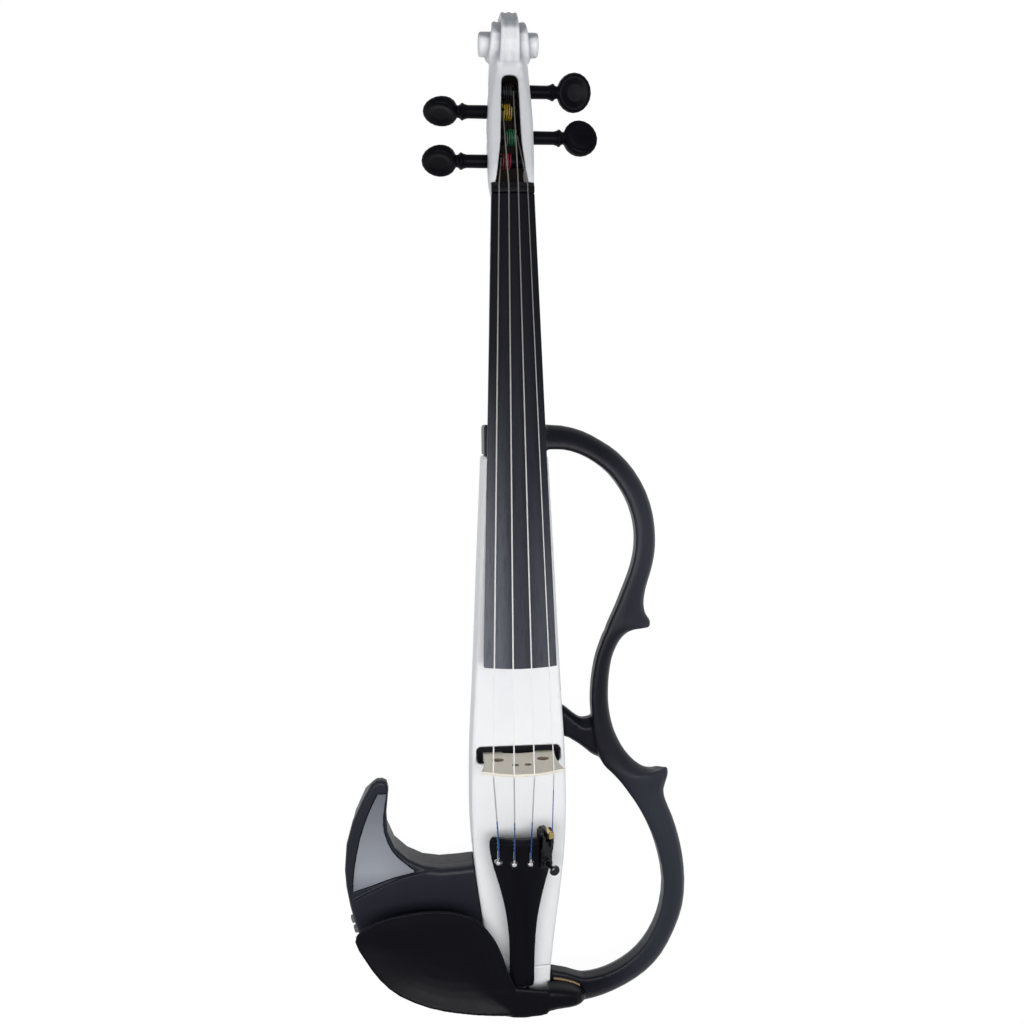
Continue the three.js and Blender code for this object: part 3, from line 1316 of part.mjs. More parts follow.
// Plan of the cup: X over its reach, Y over the distance from the bridge to the tail
const cupShares = [
  [-1, 0.67], [-0.963, 0.624], [-0.85, 0.588], [-0.732, 0.572], [-0.583, 0.561], [-0.433, 0.568],
  [-0.315, 0.594], [-0.232, 0.637], [-0.166, 0.696], [-0.119, 0.762], [-0.089, 0.824], [-0.048, 0.886],
  [-0.02, 0.95], [-0.05, 1.006], [-0.202, 1.003], [-0.382, 0.983], [-0.563, 0.951], [-0.741, 0.896],
  [-0.858, 0.827], [-0.944, 0.744],
];
// From the centre (0) to the rim (1): share of the dish's depth, share of the thickness
const dishShares = [[0, 1, 1], [0.4, 0.86, 1], [0.72, 0.5, 0.95], [0.9, 0.14, 0.8], [0.97, 0, 0.62],
  [1, 0.1, 0.35]];
const chinTiltShare = 0.06;

function chinSurface(x, y, dish) {
  return chinTop - chinDish * dish - chinTiltShare * Math.max(x - chinCentre.x, 0);
}

function cup() {
  const plan = smooth(cupShares, 2, true).map(([x, y]) => [chinReach * x, -bodyTail * y]);
  const ringAt = ([share, dish], under) => plan.map(([px, py]) => {
    const x = THREE.MathUtils.lerp(chinCentre.x, px, share);
    const y = THREE.MathUtils.lerp(chinCentre.y, py, share);
    return new THREE.Vector3(x, y, chinSurface(x, y, dish) - under);
  });
  const rows = smooth(dishShares, 2).slice(1);
  const top = rows.map((row) => ringAt(row, 0));
  const under = dishShares.slice(1).reverse().map((row) => ringAt(row, chinThick * row[2]));
  return loft([...top, ...under]);
}

// The arm from the cup over the tailpiece to the foot: X over the foot's reach, then the two edges in Y
// over the tail distance, the top and the underside over the arm's height
const footReach = 37.2;
const armTop = 60.6;
const footUnder = (frameTop + fitGap + footPadThick) / armTop;
const armShares = [
  [-0.8, 0.92, 0.97, 0.918, 0.905], [-0.6, 0.912, 0.992, 0.929, 0.912], [-0.42, 0.904, 1.01, 0.944, 0.92],
  [-0.26, 0.898, 1.019, 0.962, 0.93], [-0.12, 0.898, 1.023, 0.98, 0.94], [0.04, 0.9, 1.022, 0.994, 0.95],
  [0.3, 0.908, 1.017, 0.996, 0.95], [0.4, 0.91, 1.014, 0.994, 0.93], [0.43, 0.911, 1.013, 0.993, 0.789],
  [0.52, 0.914, 1.01, 0.99, 0.789], [0.53, 0.914, 1.01, 0.988, footUnder],
  [0.66, 0.919, 1.008, 0.978, footUnder], [0.78, 0.927, 1.007, 0.964, footUnder],
  [0.88, 0.936, 1.004, 0.945, footUnder], [0.96, 0.946, 1, 0.912, footUnder],
  [1.025, 0.958, 0.994, 0.86, footUnder], [1.06, 0.968, 0.986, 0.8, footUnder],
];
// Section of the arm: place from the front edge (0) to the back edge (1), height up from the underside
const armSectionShares = [
  [0, 0], [0, 0.62], [0.03, 0.82], [0.1, 0.94], [0.24, 1], [0.5, 1.01], [0.72, 0.97], [0.89, 0.84],
  [0.98, 0.58], [1, 0.3], [0.97, 0],
];

function chinArm() {
  const rings = armShares.map(([out, front, back, top, low]) =>
    armSectionShares.map(([across, up]) => new THREE.Vector3(
    footReach * out,
    -bodyTail * THREE.MathUtils.lerp(front, back, across),
    armTop * THREE.MathUtils.lerp(low, top, up),
  )));
  return loft(rings);
}

const bassPad = [-17.4, -9.6];
const treblePad = [20.4, 36.2];
const padShow = 0.35;
const padFront = bodyTail * 0.932;
const padBackShare = 0.992;
const padBack = bodyTail * padBackShare;
const hookEnd = bodyTail * 0.967;
const hookLevel = 51.6;
const barrelLow = 17;

function hookPath(side) {
  const x = (side * clampSpan) / 2;
  const y = -barrelLine;
  return [
    new THREE.Vector3(x, -hookEnd, hookLevel), new THREE.Vector3(x, y + postRadius * 2, hookLevel),
    new THREE.Vector3(x, y + postRadius * 0.5, hookLevel - postRadius * 0.6),
    new THREE.Vector3(x, y, hookLevel - postRadius * 2),
    new THREE.Vector3(x, y, barrelLow + barrelLength / 2 + overrun),
  ];
}

function chinrest() {
  const padTop = bodyDepth + fitGap + corkThick;
  const foot = block(...bassPad, -padBack, -padFront, padTop, armTop * 0.94);
  let shape = cup().add(chinArm()).add(foot);
  for (const side of [-1, 1]) {
    const x = (side * clampSpan) / 2;
    const across = postRadius + fitGap;
    shape = shape.subtract(tube(hookPath(side).slice(0, 2), across, 10));
    shape = shape.subtract(block(x - across, x + across, -bodyTail * 1.1, -hookEnd + fitGap,
      hookLevel - across * 3, hookLevel));
  }
  piece('chinrest', shape, 'black');
}

// The cork under the foot shows as a thin line past the foot's front edge
function treblePadPlan() {
  const [front, back] = [1, 2].map((column) => armShares.map((row) => [row[0], row[column]]));
  const [start, end] = treblePad;
  const across = [0, 0.25, 0.5, 0.7, 0.85, 1].map((share) => THREE.MathUtils.lerp(start, end, share));
  const edge = across.map((x) => [x, padShow - bodyTail * tableAt(front, x / footReach)]);
  const rear = across.map((x) =>
    [x, fitGap - bodyTail * Math.min(padBackShare, tableAt(back, x / footReach))]);
  return rear.concat(edge.reverse());
}

function pads() {
  const bassLow = bodyDepth + fitGap / 2;
  const trebleLow = frameTop + fitGap / 2;
  piece('chinrest_pad_bass', block(...bassPad, -padBack, -padFront, bassLow, bassLow + corkThick), 'cork');
  piece('chinrest_pad_treble', layers(treblePadPlan(), [[trebleLow, 0], [trebleLow + footPadThick, 0]]),
    'cork');
}

// Clamp: two hooks from the chinrest, two turnbuckle barrels and a foot under the tail block
const footPlate = 3;

function clamp() {
  const top = rebateHeight - fitGap - footPadThick - fitGap / 2;
  const low = top - footPlate;
  const half = clampSpan / 2 + postRadius + wall;
  let foot = block(-half, half, -barrelLine - postRadius - wall, -bodyTail + clampSeat - overrun, low, top);
  for (const side of [-1, 1]) {
    const x = (side * clampSpan) / 2;
    foot = foot.add(rod('z', postRadius, low + footPlate / 2, barrelLow + barrelLength * 0.45, x,
      -barrelLine, 10));
    const name = side < 0 ? 'bass' : 'treble';
    piece(`clamp_hook_${name}`, tube(hookPath(side), postRadius, 10), 'steel');
    const barrel = rod('z', barrelRadius, barrelLow, barrelLow + barrelLength, x, -barrelLine, 16)
      .subtract(rod('z', postRadius + postGap, barrelLow - overrun, barrelLow + barrelLength + overrun, x,
        -barrelLine, 12))
      .subtract(rod('x', postRadius * 0.6, x - barrelRadius * 2, x + barrelRadius * 2, -barrelLine,
        barrelLow + barrelLength / 2, 8));
    piece(`clamp_barrel_${name}`, barrel, 'steel');
  }
  piece('clamp_foot', foot, 'steel');
  piece('clamp_foot_pad', block(-half + edgeRound, half - edgeRound, -bodyTail + edgeRound,
    -bodyTail + clampSeat - overrun * 1.5,
    top + fitGap / 2, top + fitGap / 2 + footPadThick), 'cork');
}

// Tailpiece: place from the head (0) to the foot (1), half width as a share of the head's
const tailpieceShares = [
  [0, 0.93], [0.03, 1], [0.1, 0.985], [0.2, 0.88], [0.33, 0.69], [0.48, 0.52], [0.65, 0.42], [0.85, 0.39],
  [0.97, 0.39], [1, 0.34],
];
const tailpieceLength = tailpieceFoot - tailpieceHead;
const fretRise = 1.6;
const fretLine = 44.4;
const holeShares = [-0.73, -0.26, 0.24];
const slotWidth = 1.3;

function tailpieceTopAt(x, y) {
  const share = (-y - tailpieceHead) / tailpieceLength;
  const middle = THREE.MathUtils.lerp(tailpieceHeadTop, tailpieceFootTop, share);
  const crown = tailpieceCrown * (1 - 0.45 * share);
  return middle - crownDrop(Math.min(Math.abs(x), crown * 0.8), crown);
}

function tailpiece() {
  const rings = [];
  for (const [share, width] of smooth(tailpieceShares, 2)) {
    const y = -tailpieceHead - tailpieceLength * share;
    const halfWidth = tailpieceHalfWidth * width;
    const ring = [];
    for (let k = 0; k <= 8; k++) {
      const x = halfWidth * (k / 4 - 1);
      ring.push(new THREE.Vector3(x, y, tailpieceTopAt(x, y)));
    }
    for (let k = 0; k <= 4; k++) {
      const x = halfWidth * (1 - k / 2) * 0.96;
      const thin = tailpieceThick * (1 - 0.45 * Math.abs(1 - k / 2));
      ring.push(new THREE.Vector3(x, y, tailpieceTopAt(x, y) - thin));
    }
    rings.push(ring);
  }
  let shape = loft(rings);
  const fret = [];
  for (let k = -4; k <= 4; k++) {
    const x = (tailpieceHalfWidth * 0.9 * k) / 4;
    fret.push(new THREE.Vector3(x, -fretLine, tailpieceTopAt(x, -fretLine) + fretRise * 0.15));
  }
  shape = shape.add(tube(fret, fretRise * 0.6, 8));
  for (const share of holeShares) {
    const x = tailpieceHalfWidth * share;
    shape = shape.subtract(rod('z', ballHole, 0, bodyDepth * 2, x, -ballLine, 12));
    shape = shape.subtract(block(x - slotWidth / 2, x + slotWidth / 2, -ballLine,
      -ballLine + ballHole * 3.4, 0, bodyDepth * 2));
  }
  shape = shape.subtract(tunerTool());
  for (const side of [-1, 1]) {
    shape = shape.subtract(rod('y', gutRadius + fitGap, -tailpieceFoot - overrun,
      -tailpieceFoot + gutGrip + fitGap,
      side * gutHalf, gutLevel, 10));
  }
  piece('tailpiece', shape, 'ebony');
}

// Tailgut: out of the tailpiece, over the saddle and round the end button
const gutHalf = 3.4;
const gutGrip = 8;
const gutLevel = tailpieceFootTop - tailpieceThick * 0.52;

function tailgut() {
  const top = bodyDepth + saddleRise + gutRadius + fitGap;
  const outside = -bodyTail - fitGap - gutRadius - fitGap;
  const groove = bodyTail + fitGap + buttonLength * 0.4;
  const waist = buttonRadius * 0.62 + gutRadius + fitGap * 1.6;
  const side = (s) => [
    new THREE.Vector3(s * gutHalf, -tailpieceFoot + gutGrip, gutLevel),
    new THREE.Vector3(s * gutHalf, -tailpieceFoot, gutLevel),
    new THREE.Vector3(s * gutHalf, -bodyTail + saddleDepth + gutRadius, top + gutRadius * 0.6),
    new THREE.Vector3(s * gutHalf, -bodyTail + saddleDepth - saddleRound, top),
    new THREE.Vector3(s * gutHalf * 1.05, -bodyTail + saddleRound * 0.6, top),
    new THREE.Vector3(s * gutHalf * 1.1, outside - gutRadius * 0.3, top - saddleRound * 1.3),
    new THREE.Vector3(s * waist * 0.98, -groove, buttonHeight + waist),
    new THREE.Vector3(s * waist, -groove, buttonHeight),
  ];
  const turn = [];
  for (let k = 1; k < 8; k++) {
    const angle = Math.PI * (k / 8);
    turn.push(new THREE.Vector3(waist * Math.cos(angle), -groove, buttonHeight - waist * Math.sin(angle)));
  }
  piece('tailgut', tube([...side(1), ...turn, ...side(-1).reverse()], gutRadius, 6), 'black');
}

// Fine tuner: everything is modelled in the tuner's own frame, whose Z is square to the tailpiece there
const tunerXShare = 0.71;
const tunerTiltAngle = 22;
const tunerWidth = 7.4;
const tunerPlate = 1.4;
const tunerPivot = new THREE.Vector2(18.6, -0.6);
const pinRadius = 0.9;
const leverWidth = 3;
const leverThick = 1.6;
const leverHead = 7;
const leverReach = 19;
const leverDrop = 6.6;
const tunerScrew = 1.2;
const tunerCollar = 3;
const tunerKnob = 2.9;
const tunerRise = 12.5;
const tunerPlace = new THREE.Vector3(
  tailpieceHalfWidth * tunerXShare, -ballLine,
  tailpieceTopAt(tailpieceHalfWidth * tunerXShare, -ballLine) + fitGap,
);
const tunerSlope = Math.atan((tailpieceHeadTop - tailpieceFootTop) / tailpieceLength);
const tunerTurn = new THREE.Euler(tunerSlope, THREE.MathUtils.degToRad(tunerTiltAngle), 0);

function tunerHolder() {
  const holder = new THREE.Group();
  holder.position.copy(tunerPlace);
  holder.rotation.copy(tunerTurn);
  instrument.add(holder);
  return holder;
}

function tunerMatrix() {
  const quaternion = new THREE.Quaternion().setFromEuler(tunerTurn);
  return new THREE.Matrix4().compose(tunerPlace, quaternion, new THREE.Vector3(1, 1, 1));
}

function inTunerFrame(geometry) {
  return solid(geometry.applyMatrix4(tunerMatrix()));
}

// What the tailpiece leaves free for the fine tuner: the stem's hole and room under the head edge
function tunerTool() {
  const stem = new THREE.CylinderGeometry(tunerCollar * 0.72 + fitGap, tunerCollar * 0.72 + fitGap,
    leverDrop * 4, 16);
  stem.rotateX(Math.PI / 2);
  const room = new THREE.BoxGeometry(leverWidth + fitGap * 2, leverReach * 1.4, leverDrop);
  room.translate(0, leverReach * 0.55, -leverDrop - tailpieceThick * 0.42);
  const seat = new THREE.BoxGeometry(tunerWidth + fitGap * 2, leverReach * 1.5, leverDrop * 2);
  seat.translate(0, leverReach * 0.5, leverDrop - fitGap / 2);
  return inTunerFrame(stem).add(inTunerFrame(room)).add(inTunerFrame(seat));
}

function fineTuner() {
  const holder = tunerHolder();
  const half = tunerWidth / 2;
  const plateEnd = tunerPivot.x - tunerWidth * 0.2;
  let body = block(-half, half, -tunerCollar, plateEnd, 0, tunerPlate);
  body = body.add(rod('z', tunerCollar * 0.72, -tailpieceThick * 0.8, tunerPlate, 0, 0, 16));
  body = body.add(rod('z', tunerCollar, 0, tunerPlate * 2.4, 0, 0, 16));
  for (const side of [-1, 1]) {
    const [x0, x1] = side < 0 ? [-half, -leverWidth / 2 - fitGap] : [leverWidth / 2 + fitGap, half];
    const cheek = new THREE.Shape();
    cheek.moveTo(plateEnd - tunerWidth, tunerPlate * 0.2);
    cheek.lineTo(tunerPivot.x - pinRadius * 2.4, tunerPlate * 0.2);
    cheek.absarc(tunerPivot.x, tunerPivot.y, pinRadius * 2.4, -Math.PI * 0.9, Math.PI * 0.45, false);
    cheek.lineTo(tunerPivot.x - pinRadius, tunerPlate * 2.6);
    cheek.lineTo(plateEnd - tunerWidth, tunerPlate * 2);
    const geometry = new THREE.ExtrudeGeometry(cheek,
      { depth: x1 - x0, bevelEnabled: false, curveSegments: 5 });
    body = body.add(placed(geometry, x0, 0, 0, new THREE.Euler(Math.PI / 2, Math.PI / 2, 0)));
  }
  body = body.add(rod('x', pinRadius, -half, half, tunerPivot.x, tunerPivot.y, 12));
  body = body.subtract(rod('z', tunerScrew + fitGap / 2, -leverDrop * 2, leverDrop * 2, 0, 0, 14));
  const window = block(-leverWidth / 2 - fitGap, leverWidth / 2 + fitGap, plateEnd - tunerWidth * 0.55,
    tunerPivot.x + tunerWidth, -leverDrop * 2, leverDrop * 2);
  body = body.subtract(window).add(rod('x', pinRadius, -half, half, tunerPivot.x, tunerPivot.y, 12));
  piece('tuner_body', body, 'black', holder);

  const [py, pz] = [tunerPivot.x, tunerPivot.y];
  const arm = new THREE.Shape();
  arm.moveTo(py - leverReach - leverThick, -leverDrop);
  arm.lineTo(py - leverReach - leverThick, -leverDrop - leverThick);
  arm.lineTo(py - leverThick, -leverDrop - leverThick);
  arm.lineTo(py + leverThick * 1.3, -leverDrop + leverThick);
  arm.lineTo(py + leverThick * 1.5, pz);
  arm.lineTo(py + leverThick * 1.2, leverHead - leverThick);
  arm.lineTo(py + leverThick * 2.4, leverHead - leverThick * 0.6);
  arm.lineTo(py + leverThick * 2.2, leverHead);
  arm.lineTo(py - leverThick * 0.4, leverHead);
  arm.lineTo(py - leverThick * 1.5, pz);
  arm.lineTo(py - leverThick * 1.5, -leverDrop);
  const bore = new THREE.Path();
  bore.absarc(py, pz, pinRadius + fitGap / 2, 0, Math.PI * 2, true);
  arm.holes.push(bore);
  const lever = new THREE.ExtrudeGeometry(arm, { depth: leverWidth, bevelEnabled: false, curveSegments: 5 });
  piece('tuner_lever', placed(lever, -leverWidth / 2, 0, 0, new THREE.Euler(Math.PI / 2, Math.PI / 2, 0)),
    'brass', holder);

  const profile = [
    [0, -leverDrop + fitGap], [tunerScrew * 0.8, -leverDrop + fitGap],
    [tunerScrew, -leverDrop + tunerScrew], [tunerScrew, tunerRise - tunerKnob],
    [tunerKnob * 0.6, tunerRise - tunerKnob], [tunerKnob, tunerRise - tunerKnob * 0.55],
    [tunerKnob, tunerRise - tunerKnob * 0.2], [tunerKnob * 0.7, tunerRise], [0, tunerRise],
  ];
  const screwShape = revolve(profile, 12).rotateX(Math.PI / 2);
  piece('tuner_screw', solid(screwShape), 'black', holder);
}

// Strings: from the ball end or the tuner's hook, over the bridge and the nut, to the peg
function stringPiece(i) {
  const { point } = tangentAt(i);
  const overNut = stringAtNut(i, stringLength + nutDepth * 0.6);
  const fromNut = point.clone().sub(overNut).normalize();
  const reach = windCentre + windRadius + stringRadii[i] + fitGap;
  const end = point.clone().addScaledVector(fromNut, -Math.sqrt(reach * reach - windCentre * windCentre));
  const path = [];
  if (i < holeShares.length) {
    const x = tailpieceHalfWidth * holeShares[i];
    const top = tailpieceTopAt(x, -ballLine);
    const fretTop = tailpieceTopAt(x, -fretLine) + fretRise;
    path.push(new THREE.Vector3(x, -ballLine, top - ballRadius * 0.6));
    path.push(new THREE.Vector3(x, -ballLine + ballHole * 0.9, top + stringRadii[i]));
    path.push(new THREE.Vector3(x, -fretLine, fretTop + stringRadii[i]));
  } else {
    const hook = new THREE.Vector3(0, tunerPivot.x + leverThick * 1.9 + fitGap,
      leverHead + stringRadii[i] + fitGap);
    path.push(hook.applyMatrix4(tunerMatrix()));
  }
  path.push(stringAtBridge(i), stringAtNut(i, stringLength + nutDepth * 0.15), overNut, end);
  let shape = tube(path, stringRadii[i], 6);
  const ball = new THREE.SphereGeometry(i < holeShares.length ? ballRadius : ballRadius * 0.6, 8, 6);
  if (i < holeShares.length) shape = shape.add(placed(ball, path[0].x, path[0].y, path[0].z));
  piece(`string_${stringNames[i]}`, shape, 'steel');
}

instrument.name = 'electric_violin';
body();
tailBlock();
pickup();
saddle();
endButton();
neckAndScroll();
pegs.forEach(peg);
['red', 'yellow', 'lead', 'green'].forEach((finish, i) => winding(i, finish));
fingerboard();
nut();
bridge();
frame();
yokeScrewPlaces.forEach((x, i) => screw(`yoke_screw_${i + 1}`, x, yokeScrewLine, yokeBottom, screwLength));
housingFront();
housingBack();
panel();
circuitBoard();
battery();
batteryDoor();
volumeWheel();
slideSwitch('power_switch', switchPlaces[0]);
slideSwitch('reverb_switch', switchPlaces[1]);
jack('phones_jack', jackPlaces[0]);
jack('line_jack', jackPlaces[1]);
screwPlaces.forEach((place, i) => screw(`housing_screw_${i + 1}`, place.x, place.y,
  housingBottom + screwFloor, screwLength * 2));
chinrest();
pads();
clamp();
tailpiece();
tailgut();
fineTuner();
stringNames.forEach((_, i) => stringPiece(i));

// Sets the origin under the middle of the instrument, on the surface that it rests on
instrument.updateMatrixWorld(true);
const bounds = new THREE.Box3().setFromObject(instrument);
const middle = bounds.getCenter(new THREE.Vector3());
instrument.position.set(-middle.x, -middle.y, -bounds.min.z);

export default instrument;
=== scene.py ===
# The electric violin's looks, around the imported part. Metres; +Y runs to the scroll, +Z from the flat
# back to the strings, +X to the treble side.
import json
import math

import bmesh
import bpy
import numpy
from mathutils import Matrix, Vector

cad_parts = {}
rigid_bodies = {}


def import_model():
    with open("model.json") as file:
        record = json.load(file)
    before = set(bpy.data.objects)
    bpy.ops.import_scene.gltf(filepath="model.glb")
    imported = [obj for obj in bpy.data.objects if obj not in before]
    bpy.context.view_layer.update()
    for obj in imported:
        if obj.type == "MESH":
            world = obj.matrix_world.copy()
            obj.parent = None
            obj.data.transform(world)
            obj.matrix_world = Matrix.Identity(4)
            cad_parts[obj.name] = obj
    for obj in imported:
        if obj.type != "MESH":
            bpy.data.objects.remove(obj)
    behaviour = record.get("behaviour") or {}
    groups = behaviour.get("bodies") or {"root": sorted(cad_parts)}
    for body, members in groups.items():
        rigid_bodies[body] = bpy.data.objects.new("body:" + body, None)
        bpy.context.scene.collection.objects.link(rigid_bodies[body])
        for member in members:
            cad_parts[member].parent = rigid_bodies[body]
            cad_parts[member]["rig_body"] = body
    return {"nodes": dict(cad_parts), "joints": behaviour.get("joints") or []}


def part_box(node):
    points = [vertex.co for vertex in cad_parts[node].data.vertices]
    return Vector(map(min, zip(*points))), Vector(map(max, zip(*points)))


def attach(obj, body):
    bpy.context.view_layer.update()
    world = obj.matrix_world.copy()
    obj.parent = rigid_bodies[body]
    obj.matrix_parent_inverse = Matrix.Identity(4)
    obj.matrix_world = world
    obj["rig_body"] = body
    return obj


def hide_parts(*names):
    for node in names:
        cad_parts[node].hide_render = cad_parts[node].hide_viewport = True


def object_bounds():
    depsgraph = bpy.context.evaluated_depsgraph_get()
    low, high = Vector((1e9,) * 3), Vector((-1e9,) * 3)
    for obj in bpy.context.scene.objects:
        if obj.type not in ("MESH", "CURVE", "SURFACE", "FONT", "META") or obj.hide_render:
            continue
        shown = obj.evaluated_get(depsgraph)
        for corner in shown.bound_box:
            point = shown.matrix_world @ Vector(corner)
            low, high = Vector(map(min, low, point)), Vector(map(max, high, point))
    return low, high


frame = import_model()
cad_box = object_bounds()
MM = 0.001
CRISP = 0.4 * MM
GRAIN_DEPTH = 0.1 * MM


def low(node):
    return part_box(node)[0]


def high(node):
    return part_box(node)[1]


def centre_x(node):
    return (low(node).x + high(node).x) / 2


def toned(color, share, lift=0):
    return tuple(channel * share + lift for channel in color)


# Shader maths: an expression on sockets adds its Math nodes
class Socket:
    def __init__(self, owner, socket):
        self.owner, self.socket = owner, socket

    def math(self, operation, *others):
        return self.owner.node("ShaderNodeMath", {"operation": operation}, self, *others)

    def __add__(self, other):
        return self.math("ADD", other)

    def __sub__(self, other):
        return self.math("SUBTRACT", other)

    def __rsub__(self, other):
        return self.owner.node("ShaderNodeMath", {"operation": "SUBTRACT"}, other, self)

    def __mul__(self, other):
        return self.math("MULTIPLY", other)

    # 0 below an edge and 1 above it, with a soft step that reaches so far to each side
    def above(self, edge, soft):
        settings = {"interpolation_type": "SMOOTHSTEP"}
        return self.owner.node("ShaderNodeMapRange", settings, self, edge - soft, edge + soft)

    __radd__ = __add__
    __rmul__ = __mul__


# A node tree: each node comes from its type, its settings, and the values or links of its sockets
class Tree:
    def __init__(self, tree):
        self.tree = tree

    def fill(self, target, value):
        if isinstance(value, Socket):
            self.tree.links.new(value.socket, target)
        else:
            target.default_value = value

    def node(self, kind, settings, *values, out=0, **named):
        node = self.tree.nodes.new(kind)
        for key, value in settings.items():
            if key == "stops":
                self.set_stops(node.color_ramp, value)
            else:
                setattr(node, key, value)
        for target, value in zip(node.inputs, values):
            self.fill(target, value)
        for name, value in named.items():
            self.fill(node.inputs[name.replace("_", " ")], value)
        return Socket(self, node.outputs[out])

    def set_stops(self, ramp, stops):
        while len(ramp.elements) < len(stops):
            ramp.elements.new(1)
        for element, (at, shade) in zip(ramp.elements, stops):
            element.position, element.color = at, (*shade, 1)


# A material; its first colour and roughness hold where nothing is put over them
class Finish(Tree):
    def __init__(self, name, color, roughness, **settings):
        self.material = bpy.data.materials.new(name)
        self.material.use_nodes = True
        super().__init__(self.material.node_tree)
        self.shader = self.tree.nodes["Principled BSDF"]
        self.put("Base Color", (*color, 1))
        self.put("Roughness", roughness)
        for socket, value in settings.items():
            self.put(socket.replace("_", " "), value)
        self.place = self.node("ShaderNodeTexCoord", {}, out="Object")
        split = self.node("ShaderNodeSeparateXYZ", {}, self.place).socket.node
        self.x, self.y, self.z = (Socket(self, output) for output in split.outputs)

    def put(self, name, value):
        self.fill(self.shader.inputs[name], value)

    def noise(self, scale, detail=3, at=None, roughness=0.5):
        place = at or self.place
        return self.node(
            "ShaderNodeTexNoise", {}, Vector=place, Scale=scale, Detail=detail, Roughness=roughness,
        )

    def stretched(self, x, y, z):
        return self.node("ShaderNodeMapping", {}, Vector=self.place, Scale=(x, y, z))

    # A colour that turns from the first to the second as the factor goes from 0 to 1
    def mix(self, factor, first, second):
        result = self.node("ShaderNodeMix", {"data_type": "RGBA"}, factor, out=2)
        for target, color in zip(result.socket.node.inputs[6:8], (first, second)):
            self.fill(target, color if isinstance(color, Socket) else (*color, 1))
        return result

    def bump(self, height, strength, depth=GRAIN_DEPTH):
        self.put("Normal", self.node("ShaderNodeBump", {}, Height=height, Strength=strength, Distance=depth))

    # How far along a node's box a point lies: 0 at the box's low side and 1 at its high side
    def along(self, node, axis):
        start, end = getattr(low(node), axis), getattr(high(node), axis)
        return (getattr(self, axis) - start) * (1 / (end - start))


# Lacquer over wood: white, clear-coated, with a faint flow in its surface, and greyed by painted shade in
# carved grooves, over the scroll's crown and on the pegbox's cheeks
def white_lacquer():
    finish = Finish(
        "white_lacquer", (0.86, 0.865, 0.88), 0.36, Coat_Weight=0.12, Coat_Roughness=0.2,
        Specular_IOR_Level=0.3,
    )
    tone = finish.mix(finish.noise(14, detail=4), (0.835, 0.845, 0.87), (0.88, 0.885, 0.895))
    # Painted shade: the lacquer turns towards this grey where the mesh's shade attribute is high
    groove = finish.node("ShaderNodeAttribute", {"attribute_name": "groove"}, out=2)
    finish.put("Base Color", finish.mix(groove, tone, (0.3, 0.31, 0.345)))
    finish.put("Roughness", finish.noise(60) * 0.08 + 0.32)
    finish.bump(finish.noise(220, detail=2), strength=0.12, depth=0.2 * MM)
    return finish.material


# Moulded black resin with a fine even grain
def moulded_black(name, color, roughness, grain=0.12, specular=0.25):
    finish = Finish(name, color, roughness, Specular_IOR_Level=specular)
    finish.put("Base Color", finish.mix(finish.noise(30, detail=4), color, toned(color, 1.5)))
    finish.put("Roughness", finish.noise(300) * 0.14 + (roughness - 0.07))
    finish.bump(finish.noise(2400, detail=2), strength=grain)
    return finish.material


# The frame's black: deep beside the body, and with a painted sheen, paler and bluer, over the wide bows
SHEEN_EDGE = 66 * MM
SHEEN_BLEND = 20 * MM


def frame_black():
    finish = Finish("frame_black", (0.006, 0.0065, 0.011), 0.4, Specular_IOR_Level=0.15)
    deep = finish.mix(finish.noise(30, detail=4), (0.004, 0.004, 0.008), (0.007, 0.007, 0.012))
    # Painted sheen over the wide bows, past this edge towards the treble side
    bow_sheen = finish.x.above(SHEEN_EDGE, SHEEN_BLEND)
    finish.put("Base Color", finish.mix(bow_sheen, deep, (0.026, 0.028, 0.039)))
    finish.put("Roughness", finish.noise(300) * 0.14 + 0.31)
    finish.bump(finish.noise(2400, detail=2), strength=0.08)
    return finish.material


# The inlaid panel: a blue-grey satin coat, with a painted sheen that is palest low down and darker towards
# the top, the tip and the sides. Its stops run from its low end in Y (0) to its high end (1).
PANEL_SHEEN_STOPS = [
    (0, (0.21, 0.225, 0.27)), (0.2, (0.38, 0.4, 0.45)), (0.45, (0.29, 0.305, 0.35)),
    (0.75, (0.18, 0.19, 0.225)), (1, (0.12, 0.128, 0.152)),
]


def panel_coat():
    finish = Finish("panel_coat", (0.13, 0.15, 0.18), 0.38, Metallic=0.35)
    across = finish.along("housing_panel", "x")
    # Painted shade darkens the panel towards both of its sides, and the stops paint its sheen along it
    side_shade = across.above(0.75, 0.4) + (1 - across.above(0.02, 0.12))
    panel_sheen = finish.node("ShaderNodeValToRGB", {"stops": PANEL_SHEEN_STOPS}, finish.along("housing_panel", "y"))
    tone = finish.mix(side_shade * 0.5, panel_sheen, (0.11, 0.12, 0.145))
    finish.put("Base Color", finish.mix(finish.noise(900) * 0.25, tone, (0.3, 0.32, 0.36)))
    finish.put("Roughness", finish.noise(160) * 0.12 + 0.3)
    finish.bump(finish.noise(3000, detail=2), strength=0.1)
    return finish.material


# Stained hardwood: dark pores drawn out along one axis
def dark_wood(name, color, roughness, specular=0.15, axis=1):
    finish = Finish(name, color, roughness, Specular_IOR_Level=specular)
    fibres = [900, 900, 900]
    fibres[axis] = 18
    grain = finish.noise(1, detail=5, at=finish.stretched(*fibres), roughness=0.6)
    streak = finish.noise(1, at=finish.stretched(*toned(fibres, 0.2)))
    tone = finish.mix(streak, color, toned(color, 1.9, lift=0.002))
    finish.put("Base Color", finish.mix(grain.above(0.62, 0.1) * 0.3, tone, toned(color, 0.3)))
    finish.put("Roughness", grain * 0.2 + (roughness - 0.1))
    finish.bump(grain, strength=0.18)
    return finish.material


